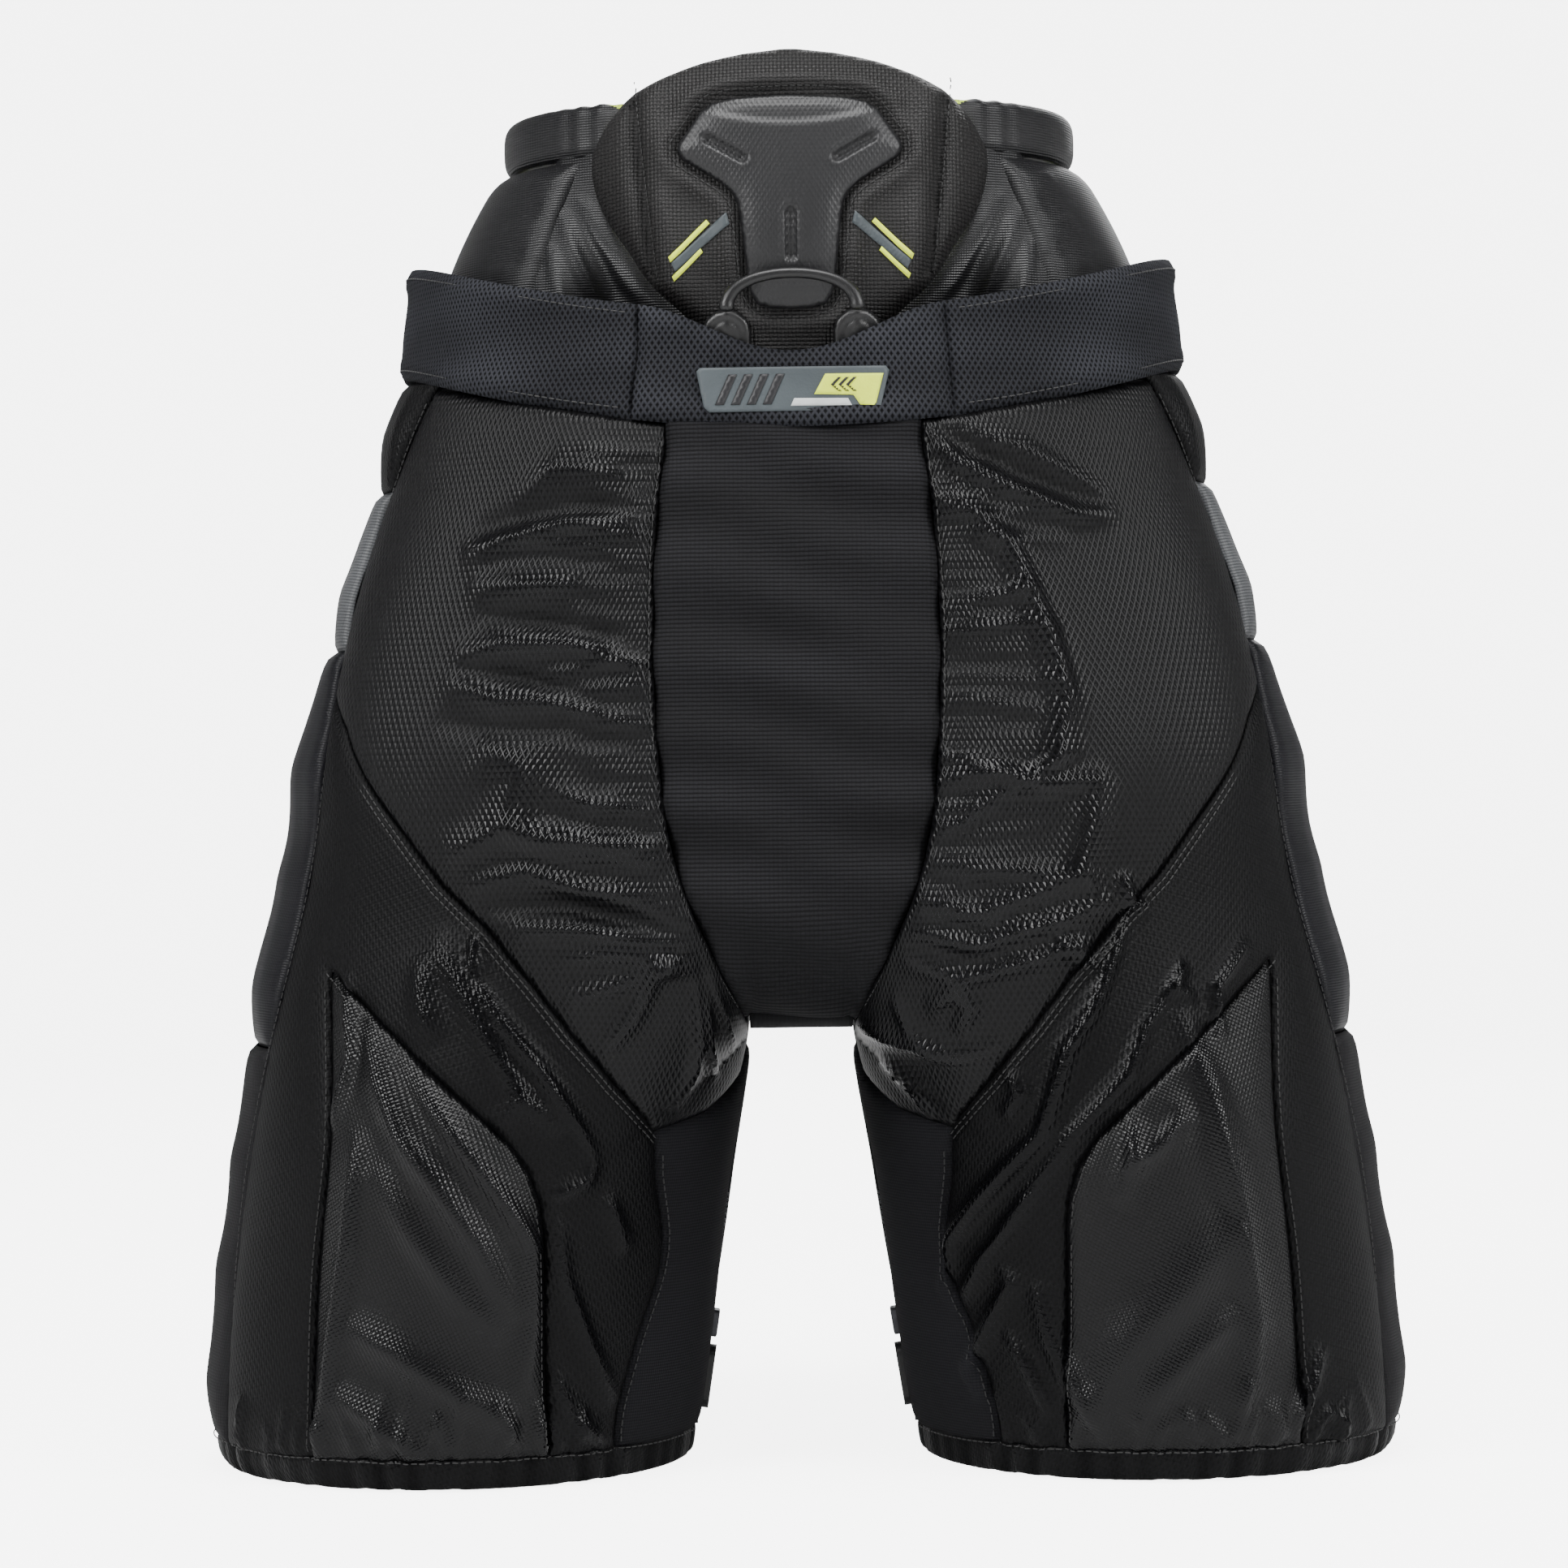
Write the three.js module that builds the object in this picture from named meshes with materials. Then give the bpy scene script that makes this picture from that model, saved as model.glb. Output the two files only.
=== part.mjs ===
// Padded ice hockey pants. Millimetres, +Z up, +X the wearer's right, +Y the wearer's front.
// They stand on their two leg hems at z = 0. Every shell panel, pad and lining lies on one garment
// surface: below the crotch it is two leg tubes, and above it they merge into the hips.
import * as THREE from 'three';

// Overall sizes
const hemHalfWidth = 256;
const crotchHalfWidth = 236;
const hipHalfWidth = 217;
const waistHalfWidth = 167;
const hemHalfDepth = 102;
const crotchHalfDepth = 120;
const hipHalfDepth = 126;
const waistHalfDepth = 107;
const crotchHeight = 187;
const hipRise = 88;
const hipHeight = crotchHeight + hipRise;
const hemInnerEdge = 51;
const crotchInnerEdge = 22;
const crotchRise = 58;
const hipSquareness = 2.3;

// Belt
const beltSideHeight = 468;
const beltBackHeight = 438;
const beltFrontHeight = 452;
const beltWidth = 48;
const beltThickness = 5;
const beltBackDip = 16;
const beltBackHalf = 64;
const patchWidth = 76;
const patchHeight = 18;
const patchThickness = 1.2;

// Spine pad and its moulded cap
const padHeight = 597;
const padBottomHeight = 446;
const padHalfWidth = 82;
const padCornerHeight = 580;
const padCoverThickness = 9;
const padFoamThickness = 12;
const padLean = 9;
const padEdgeDepth = 22.9;
const padWrap = padEdgeDepth / padHalfWidth ** 2;
const capTopHeight = 571;
const capBottomHeight = 487;
const capHalfWidth = 46;
const capNeckHalf = 17;
const capThickness = 4;

// Kidney pads
const kidneyTopHeight = 565;
const kidneyBottomHeight = 447;
const kidneyThickness = 15;
const kidneyLeanIn = 40;
const rollRadius = 11.5;
const pleatSpread = 10;

// Fabrics, foams and plates
const skinThickness = 2;
const liningDepth = 17;
const liningThickness = 1.5;
const insertDepth = 4;
const insertThickness = 9;
const hemBand = 12;
const hemWall = 15;

// Pull loop
const loopHalfWidth = 27;
const loopHeight = 16;
const loopTube = 2.3;
const loopFoot = 485;
const anchorWidth = 20;
const anchorHeight = 24;
const anchorThickness = 2.4;

// Inner-leg zips
const zipLength = 100;
const zipFoot = 15;
const zipTapeWidth = 22;
const zipTapeThickness = 2;
const sliderLength = 12;
const sliderWidth = 9;
const sliderThickness = 4;
const sliderRest = 36;
const pullLength = 28;
const pullWidth = 11;
const pullThickness = 4;
const bailLength = 3.5;
const pullOut = 1;

// Front fly and buckle
const flyHalfWidth = 30;
const flyFoot = 302;
const buckleLength = 32;
const buckleHeight = 30;
const buckleDepth = 9;
const buckleWall = 2.5;
const strapLength = 44;
const strapHeight = 25;
const strapThickness = 1.6;

// Clearances
const seamGap = 1;
const layerGap = 1.5;
const touchGap = 0.4;
const hipGap = 1.5;
const beltClearance = 1.2;
const pleatClearance = 3.7;
const hipRadius = hipHalfDepth + 24;
const padDepth = beltThickness / 2 + beltClearance + anchorThickness + layerGap
  + padCoverThickness + layerGap + padFoamThickness;

// Colours
const black = { color: 0x141416, roughness: 0.75 };
const glossyBlack = { color: 0x18181b, roughness: 0.45 };
const charcoal = { color: 0x1d1f26, roughness: 0.8 };
const stripeGrey = { color: 0x4a4d50, roughness: 0.6 };
const mouldedBlack = { color: 0x232325, roughness: 0.5 };
const lime = { color: 0xc6de3c, roughness: 0.6 };
const foamGrey = { color: 0x5a5c60, roughness: 0.9 };
const patchGrey = { color: 0x525c60, roughness: 0.5 };
const webbing = { color: 0x101012, roughness: 0.7 };

const garment = new THREE.Group();
const sides = [['left', -1], ['right', 1]];
const rad = THREE.MathUtils.degToRad;
const lerp = THREE.MathUtils.lerp;

// A smooth curve of one value over height, through a few points and level beyond its ends.
function through(points) {
  const slope = (i) => {
    const a = points[Math.max(i - 1, 0)];
    const b = points[Math.min(i + 1, points.length - 1)];
    return (b[1] - a[1]) / (b[0] - a[0]);
  };
  return (at) => {
    if (at <= points[0][0]) return points[0][1];
    const last = points.length - 1;
    if (at >= points[last][0]) return points[last][1];
    const i = points.findIndex((p, k) => k < last && at < points[k + 1][0]);
    const span = points[i + 1][0] - points[i][0];
    const t = (at - points[i][0]) / span;
    const start = (2 * t - 3) * t * t + 1;
    const startSlope = ((t - 2) * t + 1) * t * span;
    const endSlope = (t - 1) * t * t * span;
    return start * points[i][1] + (1 - start) * points[i + 1][1]
      + startSlope * slope(i) + endSlope * slope(i + 1);
  };
}

const halfWidth = through([
  [0, hemHalfWidth], [crotchHeight, crotchHalfWidth], [hipHeight, hipHalfWidth],
  [beltSideHeight, waistHalfWidth],
]);
const halfDepth = through([
  [0, hemHalfDepth], [crotchHeight, crotchHalfDepth], [hipHeight, hipHalfDepth],
  [beltSideHeight, waistHalfDepth],
]);
const innerEdge = (z) => lerp(hemInnerEdge, crotchInnerEdge, Math.min(z / crotchHeight, 1));

// How far the surface lies from the x-z plane: two ellipses below the crotch, one hip curve above.
function depthAt(place, z) {
  const x = Math.abs(place);
  const outer = halfWidth(z);
  const inner = innerEdge(z);
  const across = THREE.MathUtils.clamp((2 * x - outer - inner) / (outer - inner), -1, 1);
  const leg = Math.sqrt(1 - across * across);
  const rise = THREE.MathUtils.clamp((z - crotchHeight) / crotchRise, 0, 1);
  const merged = Math.sqrt(1 - (1 - rise) ** 2);
  const hip = (1 - Math.min(x / outer, 1) ** hipSquareness) ** (1 / hipSquareness);
  return halfDepth(z) * ((1 - merged) * leg + merged * hip);
}

// A point on one leg's side, at an angle from the inner thigh (0) over the back (90),
// the outside (180) and the front (270).
function loopPoint(side, degrees, z) {
  const middle = (halfWidth(z) + innerEdge(z)) / 2;
  const reach = (halfWidth(z) - innerEdge(z)) / 2;
  const x = middle - reach * Math.cos(rad(degrees));
  const back = Math.sin(rad(degrees)) >= 0 ? -1 : 1;
  return new THREE.Vector3(side * x, back * depthAt(x, z), z);
}

// A point on one half of the hips, at an angle from the centre back (0) over the side (90)
// to the centre front (180).
function girthPoint(side, degrees, z) {
  const x = halfWidth(z) * Math.sin(rad(degrees));
  const back = Math.cos(rad(degrees)) >= 0 ? -1 : 1;
  return new THREE.Vector3(side * x, back * depthAt(x, z), z);
}

// The same point, lifted outwards from the surface.
function lifted(point, side, degrees, z, lift) {
  const across = point(side, degrees + 0.5, z).sub(point(side, degrees - 0.5, z));
  const up = point(side, degrees, z + 0.5).sub(point(side, degrees, z - 0.5));
  const outward = across.cross(up).normalize().multiplyScalar(side * lift);
  return point(side, degrees, z).add(outward);
}

// The angle on a leg's side where the surface passes a given x.
function angleAt(x, z) {
  const middle = (halfWidth(z) + innerEdge(z)) / 2;
  const reach = (halfWidth(z) - innerEdge(z)) / 2;
  return THREE.MathUtils.radToDeg(Math.acos(THREE.MathUtils.clamp((middle - x) / reach, -1, 1)));
}

// The height where the surface crosses a cylinder round the hip axis.
function hipEdge(side, degrees, lift, radius) {
  let low = hipHeight - radius - 40;
  let high = hipHeight;
  for (let step = 0; step < 30; step += 1) {
    const z = (low + high) / 2;
    const p = lifted(loopPoint, side, degrees, z, lift);
    if (Math.hypot(p.y, p.z - hipHeight) > radius) low = z;
    else high = z;
  }
  return high;
}
const waistEdge = (side) => (degrees, lift) => hipEdge(side, degrees, lift, hipRadius - hipGap);
const legEdge = (side) => (degrees, lift) => hipEdge(side, degrees, lift, hipRadius + hipGap);

// Turns a mesh's triangles so that they face outwards.
function outward(geometry) {
  const p = geometry.getAttribute('position');
  const index = geometry.index.array;
  const [a, b, c] = [new THREE.Vector3(), new THREE.Vector3(), new THREE.Vector3()];
  let volume = 0;
  for (let i = 0; i < index.length; i += 3) {
    a.fromBufferAttribute(p, index[i]);
    b.fromBufferAttribute(p, index[i + 1]);
    c.fromBufferAttribute(p, index[i + 2]);
    volume += a.dot(b.cross(c));
  }
  if (volume < 0) {
    for (let i = 0; i < index.length; i += 3) {
      [index[i], index[i + 1]] = [index[i + 1], index[i]];
    }
  }
  geometry.computeVertexNormals();
  return geometry;
}

// A block of fabric or foam, bent by a function of its place across, up and through.
function bent(columns, rows, place) {
  const geometry = new THREE.BoxGeometry(1, 1, 1, columns, rows, 1);
  const position = geometry.getAttribute('position');
  for (let i = 0; i < position.count; i += 1) {
    const [u, v, w] = [position.getX(i), position.getY(i), position.getZ(i)];
    const p = place(u + 0.5, v + 0.5, w + 0.5);
    position.setXYZ(i, p.x, p.y, p.z);
  }
  // The inner face is cut along the same diagonals as the outer, so a thin wall stays whole.
  const { index } = geometry;
  const { start, count } = geometry.groups.at(-1);
  for (let i = start; i < start + count; i += 6) {
    const [a, b, d, , c] = [0, 1, 2, 3, 4].map((k) => index.getX(i + k));
    [a, b, c, a, c, d].forEach((corner, k) => index.setX(i + k, corner));
  }
  return outward(geometry);
}

function add(name, geometry, finish, group = garment) {
  const material = new THREE.MeshStandardMaterial({ metalness: 0, ...finish });
  const mesh = new THREE.Mesh(geometry, material);
  mesh.name = name;
  group.add(mesh);
  return mesh;
}

const value = (bound, ...at) => (typeof bound === 'function' ? bound(...at) : bound);

// A panel on the garment surface: from one angle to another, from one height to another, with its
// faces at two depths. A bound is a number, or a function of height or of angle and depth.
function panel(point, side, { from, to, low, high, outer = 0, thickness, columns, rows }) {
  return bent(columns, rows, (u, v, w) => {
    const lift = outer - thickness * (1 - w);
    let z = hipHeight;
    let degrees = 90;
    for (let pass = 0; pass < 40; pass += 1) {
      degrees = lerp(value(from, z), value(to, z), u);
      z = lerp(z, lerp(value(low, degrees, lift), value(high, degrees, lift), v), 0.3);
    }
    return lifted(point, side, degrees, z, lift);
  });
}

// Heights of the belt's edges round the waist, as functions of the girth angle.
function beltBottom(degrees) {
  const middle = Math.cos(rad(degrees)) > 0 ? beltBackHeight : beltFrontHeight;
  return lerp(middle, beltSideHeight, Math.sin(rad(degrees)) ** 2);
}
const beltSeam = THREE.MathUtils.radToDeg(Math.asin(beltBackHalf / waistHalfWidth));
function beltTop(degrees) {
  const dip = degrees < beltSeam ? 0.5 + 0.5 * Math.cos(rad((180 * degrees) / beltSeam)) : 0;
  return beltBottom(degrees) + beltWidth - beltBackDip * dip;
}
// The shell's upper edge just under the belt, for an angle on a leg's side.
function shellTop(degrees) {
  const x = loopPoint(1, degrees, beltBackHeight).x;
  const girth = THREE.MathUtils.radToDeg(Math.asin(Math.min(x / halfWidth(beltBackHeight), 1)));
  return beltBottom(degrees > 180 ? 180 - girth : girth) - seamGap;
}

// Centre back panel, in one piece across both halves, tapering to the crotch.
const centreHalf = through([
  [crotchHeight + 7, crotchInnerEdge], [crotchHeight + 33, 36], [crotchHeight + 59, 47],
  [hipHeight, 55], [hipHeight + 75, 59], [beltBackHeight, 54],
]);
function centrePanel(direction, halfAt, low, high, columns, rows, outer, thickness) {
  return bent(columns, rows, (u, v, w) => {
    const z = low + (high - low) * v ** 1.6;
    const x = lerp(-halfAt(z), halfAt(z), u);
    const slope = (depthAt(x, z + 0.5) - depthAt(x, z - 0.5));
    const lift = outer - thickness * (1 - w);
    const along = Math.hypot(1, slope);
    const y = depthAt(x, z) + lift / along;
    return new THREE.Vector3(x, direction * y, z - (lift * slope) / along);
  });
}
const centreFoot = crotchHeight + 8;
add('centre_back_panel', centrePanel(-1, (z) => centreHalf(z) - seamGap, centreFoot,
  beltBackHeight - seamGap, 6, 12, 0, skinThickness), black);
const underlayHalf = (z) => Math.min(centreHalf(z), flyHalfWidth + 6) - seamGap;
add('fly_underlay', centrePanel(1, underlayHalf, centreFoot, beltFrontHeight - seamGap,
  4, 12, 0, skinThickness), black);
add('tailbone_pad', centrePanel(-1, () => 42, hipHeight + 15, beltBackHeight - 10, 5, 5,
  -insertDepth, insertThickness), foamGrey);

// Crotch gusset: a U from the back panel's foot, under the crotch, to the fly's foot.
const gussetHalf = crotchInnerEdge - seamGap;
add('crotch_gusset', bent(2, 12, (u, v, w) => {
  const turn = rad(180 * v);
  const reach = depthAt(0, centreFoot - seamGap - 1) - (1 - w) * skinThickness;
  const drop = centreFoot - seamGap - 1 - crotchHeight + w * skinThickness;
  return new THREE.Vector3(lerp(-gussetHalf, gussetHalf, u), -reach * Math.cos(turn),
    centreFoot - seamGap - 1 - drop * Math.sin(turn));
}), black);

// Shell panels of each side
const sideSeam = 152;
const frontSeam = 208;
const gussetSeam = 42;
const zipEdge = THREE.MathUtils.radToDeg(Math.asin((zipTapeWidth / 2 + seamGap) / hemHalfDepth)) + 0.4;
const zipTop = zipFoot + zipLength;
const innerSeam = zipTop + seamGap > hipHeight - hipRadius ? zipEdge : seamGap;
const seatInner = (z) => (z < crotchHeight ? innerSeam
  : angleAt(Math.max(centreHalf(z), crotchInnerEdge), z) + 0.6);
const frontInner = (z) => (z < crotchHeight ? 360 - innerSeam
  : 360 - angleAt(Math.max(underlayHalf(z) + seamGap, crotchInnerEdge), z) - 0.6);
const thighSeam = (degrees) => lerp(112, 186, THREE.MathUtils.clamp((degrees - 60) / 58, 0, 1));
const stripeLow = (degrees) => lerp(338, 352, (degrees - sideSeam) / (frontSeam - sideSeam));
const skin = { thickness: skinThickness };

for (const [name, side] of sides) {
  const shell = (part, bounds, finish) => add(`${part}_${name}`,
    panel(loopPoint, side, { ...skin, ...bounds }), finish);
  shell('seat_panel', {
    from: seatInner, to: sideSeam - 0.4, low: waistEdge(side), high: shellTop, columns: 18, rows: 24,
  }, glossyBlack);
  shell('front_hip_panel', {
    from: frontSeam + 0.4, to: frontInner, low: waistEdge(side), high: shellTop, columns: 12, rows: 18,
  }, glossyBlack);
  shell('side_panel_upper', {
    from: sideSeam + 0.4, to: frontSeam - 0.4, low: waistEdge(side),
    high: (degrees) => stripeLow(degrees) - seamGap, columns: 10, rows: 10,
  }, black);
  shell('side_stripe', {
    from: sideSeam + 0.4, to: frontSeam - 0.4, low: stripeLow, high: shellTop, columns: 10, rows: 6,
  }, stripeGrey);
  shell('inner_gusset', {
    from: zipEdge, to: gussetSeam - 0.4, low: hemBand + seamGap, high: legEdge(side),
    columns: 3, rows: 5,
  }, black);
  shell('back_lower_panel', {
    from: gussetSeam + 0.4, to: sideSeam - 0.4, low: hemBand + seamGap,
    high: (degrees, lift) => Math.min(thighSeam(degrees), legEdge(side)(degrees, lift)) - seamGap,
    columns: 12, rows: 8,
  }, glossyBlack);
  shell('thigh_back_panel', {
    from: gussetSeam + 0.4, to: 105, low: thighSeam, high: legEdge(side), columns: 8, rows: 4,
  }, black);
  shell('side_panel_lower', {
    from: sideSeam + 0.4, to: frontSeam - 0.4, low: hemBand + seamGap, high: legEdge(side),
    columns: 10, rows: 8,
  }, black);
  shell('front_thigh_panel', {
    from: frontSeam + 0.4, to: 360 - zipEdge, low: hemBand + seamGap, high: legEdge(side),
    columns: 16, rows: 8,
  }, glossyBlack);
  shell('leg_lining', {
    from: zipEdge, to: 360 - zipEdge, low: hemBand + seamGap, high: legEdge(side),
    outer: -liningDepth + liningThickness, thickness: liningThickness, columns: 18, rows: 2,
  }, black);
  shell('thigh_guard', {
    from: 105, to: 275, low: hemBand + 14, high: (degrees, lift) => legEdge(side)(degrees, lift) - 6,
    outer: -insertDepth, thickness: insertThickness, columns: 18, rows: 6,
  }, mouldedBlack);
  shell('hip_pad', {
    from: 128, to: 232, low: hipHeight - 5, high: beltBackHeight - 6,
    outer: -insertDepth, thickness: insertThickness, columns: 14, rows: 8,
  }, foamGrey);
  add(`waist_lining_${name}`, panel(girthPoint, side, {
    from: 0.6, to: 179.4, low: crotchHeight + crotchRise + 6,
    high: (degrees) => beltTop(degrees) - 4,
    outer: -padDepth - 4 * layerGap, thickness: liningThickness, columns: 14, rows: 3,
  }), lime);
}

// Hem bands: upright rings that the legs stand on.
function legOutline(side, z, inset, backwards) {
  const middle = side * (halfWidth(z) + innerEdge(z)) / 2;
  const reachX = (halfWidth(z) - innerEdge(z)) / 2 - inset;
  const reachY = halfDepth(z) - inset;
  return new THREE.EllipseCurve(middle, 0, reachX, reachY, 0, 2 * Math.PI, backwards).getPoints(24);
}
for (const [name, side] of sides) {
  const ring = new THREE.Shape(legOutline(side, 0, 0, false));
  ring.holes.push(new THREE.Path(legOutline(side, 0, hemWall, true)));
  const geometry = new THREE.ExtrudeGeometry(ring, { depth: hemBand, bevelEnabled: false });
  add(`hem_band_${name}`, geometry, glossyBlack);
}

// Belt: a back section with a dipped top edge, and a long section round each side to the front.
const beltOuter = beltThickness / 2;
add('belt_back', bent(12, 2, (u, v, w) => {
  const across = lerp(-beltSeam + 0.3, beltSeam - 0.3, u);
  const degrees = Math.abs(across);
  const side = across < 0 ? -1 : 1;
  const z = lerp(beltBottom(degrees), beltTop(degrees), v);
  return lifted(girthPoint, side, degrees, z, beltOuter - beltThickness * (1 - w));
}), charcoal);
for (const [name, side] of sides) {
  add(`belt_${name}`, panel(girthPoint, side, {
    from: beltSeam + 0.3, to: 176, low: beltBottom, high: beltTop,
    outer: beltOuter, thickness: beltThickness, columns: 24, rows: 8,
  }), charcoal);
}
const patchFoot = beltBackHeight + (beltWidth - beltBackDip - patchHeight) / 2 - 2;
add('belt_patch', bent(6, 1, (u, v, w) => {
  const x = lerp(-patchWidth / 2, patchWidth / 2, u);
  const degrees = THREE.MathUtils.radToDeg(Math.asin(Math.abs(x) / waistHalfWidth));
  const z = beltBottom(degrees) + (patchFoot - beltBackHeight) + patchHeight * v;
  const lift = beltOuter + touchGap + patchThickness * w;
  return lifted(girthPoint, x < 0 ? -1 : 1, degrees, z, lift);
}), patchGrey);

// Spine pad: it starts inside the belt, and leans out above it.
const innerOfBelt = waistHalfDepth - beltThickness / 2 - beltClearance - anchorThickness - layerGap;
const padHalf = through([
  [padBottomHeight, 36], [padBottomHeight + 33, 37], [padBottomHeight + 51, 57],
  [padCornerHeight - 45, padHalfWidth - 2], [padCornerHeight - 25, padHalfWidth],
  [padCornerHeight, 65],
]);
const padFace = through([
  [padBottomHeight, innerOfBelt], [beltBackHeight + beltWidth - beltBackDip, innerOfBelt],
  [padBottomHeight + 64, innerOfBelt + padLean], [padHeight, innerOfBelt + padLean - 3],
]);
function padLayer(outer, thickness, trim, columns, rows) {
  return bent(columns, rows, (u, v, w) => {
    const across = 2 * u - 1;
    const row = lerp(padBottomHeight, padCornerHeight, v);
    const x = across * (padHalf(row) - trim);
    const crown = (padHeight - padCornerHeight) * v * (1 - across * across);
    const z = row + crown - trim * v;
    const y = padFace(z) - outer - thickness * (1 - w) - padWrap * x * x;
    return new THREE.Vector3(x, -y, z);
  });
}
add('spine_pad_cover', padLayer(0, padCoverThickness, 0, 8, 10), black);
add('spine_pad_foam', padLayer(padCoverThickness + layerGap, padFoamThickness, 5, 8, 10), foamGrey);

// Spine cap: a moulded Y that narrows to a neck, on the face of the pad.
const capHalf = through([
  [capBottomHeight, capNeckHalf - 3], [capBottomHeight + 28, capNeckHalf],
  [capBottomHeight + 44, capNeckHalf + 4], [capBottomHeight + 54, capHalfWidth - 13],
  [capTopHeight - 18, capHalfWidth], [capTopHeight, capHalfWidth - 12],
]);
add('spine_cap', bent(8, 12, (u, v, w) => {
  const z = lerp(capBottomHeight, capTopHeight, v);
  const x = lerp(-capHalf(z), capHalf(z), u);
  const y = padFace(z) - padWrap * x * x + layerGap + capThickness * w;
  return new THREE.Vector3(x, -y, z);
}), mouldedBlack);

// Kidney pads, their rolls and the pleated fabric between them and the spine pad.
const kidneyIn = (z) => kidneyLeanIn * (THREE.MathUtils.clamp(
  (z - beltSideHeight) / (kidneyTopHeight + rollRadius - beltSideHeight), 0, 1) ** 2);
function collarPoint(side, degrees, z) {
  const shrink = 1 - kidneyIn(z) / waistHalfWidth;
  const p = girthPoint(side, degrees, z);
  return new THREE.Vector3(p.x * shrink, p.y * (1 - 0.4 * kidneyIn(z) / waistHalfDepth), z);
}
const collarOuter = -beltThickness / 2 - beltClearance;
const pleatTop = kidneyTopHeight - rollRadius - 7;
const pleatStart = THREE.MathUtils.radToDeg(Math.asin(
  (padHalfWidth + pleatClearance) / (waistHalfWidth - kidneyIn(pleatTop))));
for (const [name, side] of sides) {
  add(`kidney_pad_${name}`, panel(collarPoint, side, {
    from: pleatStart + pleatSpread, to: 98, low: kidneyBottomHeight,
    high: kidneyTopHeight - rollRadius - 3,
    outer: collarOuter, thickness: kidneyThickness, columns: 10, rows: 16,
  }), glossyBlack);
  add(`pleat_gusset_${name}`, panel(collarPoint, side, {
    from: pleatStart, to: pleatStart + pleatSpread - 1, low: kidneyBottomHeight, high: pleatTop,
    outer: collarOuter - 4, thickness: 4, columns: 3, rows: 8,
  }), glossyBlack);
  const rollAt = (degrees) => lifted(collarPoint, side, degrees, kidneyTopHeight + 4,
    collarOuter - kidneyThickness / 2);
  const rollStart = pleatStart + 0.6 * pleatSpread;
  const stops = [0, 0.2, 0.4, 0.6, 0.8, 1].map((share) => lerp(rollStart, 94, share));
  const line = new THREE.CatmullRomCurve3(stops.map(rollAt));
  const section = new THREE.Shape(new THREE.EllipseCurve(0, 0, rollRadius, rollRadius,
    0, 2 * Math.PI).getPoints(10));
  const geometry = new THREE.ExtrudeGeometry(section, { steps: 8, extrudePath: line });
  add(`kidney_roll_${name}`, geometry, glossyBlack);
}

// Rubber pull loop and its two anchors, which run down behind the belt.
const loopReach = padFace(loopFoot + loopHeight) + layerGap + capThickness + layerGap + loopTube;
const arch = Array.from({ length: 9 }, (unused, i) => {
  const turn = Math.PI * (i / 8);
  const x = -loopHalfWidth * Math.cos(turn);
  return new THREE.Vector3(x, -loopReach, loopFoot + loopHeight * Math.sin(turn) ** 0.8);
});
const loopSection = new THREE.Shape(new THREE.EllipseCurve(0, 0, loopTube, loopTube,
  0, 2 * Math.PI).getPoints(8));
add('pull_loop', new THREE.ExtrudeGeometry(loopSection, {
  steps: 20, extrudePath: new THREE.CatmullRomCurve3(arch),
}), mouldedBlack);
for (const [name, side] of sides) {
  add(`loop_anchor_${name}`, bent(2, 3, (u, v, w) => {
    const x = side * (loopHalfWidth + lerp(-0.5, 0.5, u) * anchorWidth);
    const z = loopFoot - loopTube - touchGap - anchorHeight * (1 - v);
    const y = padFace(z) + layerGap - padWrap * x * x + anchorThickness * w;
    return new THREE.Vector3(x, -y, z);
  }), mouldedBlack);
}

// Inner-leg zips: tape, slider and hanging pull, in a group tilted along the inner edge.
const innerTilt = Math.atan((hemInnerEdge - crotchInnerEdge) / crotchHeight);
for (const [name, side] of sides) {
  const zip = new THREE.Group();
  zip.position.set(side * innerEdge(zipFoot), 0, zipFoot);
  zip.rotation.y = -side * innerTilt;
  garment.add(zip);
  const tape = new THREE.BoxGeometry(zipTapeThickness, zipTapeWidth, zipLength);
  const onTape = (mesh, out, up) => mesh.position.set(-side * out, 0, up);
  onTape(add(`zip_tape_${name}`, tape, webbing, zip), -zipTapeThickness / 2, zipLength / 2);
  const slider = new THREE.BoxGeometry(sliderThickness, sliderWidth, sliderLength);
  onTape(add(`zip_slider_${name}`, slider, { ...mouldedBlack, metalness: 0.6 }, zip),
    touchGap + sliderThickness / 2, sliderRest + sliderLength / 2);
  const outline = new THREE.Shape();
  const reach = pullWidth / 2;
  outline.absarc(0, pullLength - reach, reach, 0, Math.PI, false);
  outline.absarc(0, reach, reach, Math.PI, 2 * Math.PI, false);
  const eye = new THREE.Path();
  eye.absellipse(0, pullLength * 0.35, reach - 2.6, pullLength * 0.16, 0, 2 * Math.PI, true);
  outline.holes.push(eye);
  const tab = new THREE.ExtrudeGeometry(outline, {
    depth: pullThickness, bevelEnabled: false, curveSegments: 6,
  });
  tab.rotateX(Math.PI / 2);
  tab.rotateZ(Math.PI / 2);
  const pull = add(`zip_pull_${name}`, tab, mouldedBlack, zip);
  onTape(pull, pullOut + (side < 0 ? 0 : pullThickness), sliderRest - bailLength - pullLength);
}

// Fly flap over the underlay, hinged on its left edge.
add('fly_flap', centrePanel(1, () => flyHalfWidth, flyFoot, beltFrontHeight - 2 * seamGap, 4, 8,
  layerGap + skinThickness, skinThickness), black);

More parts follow.
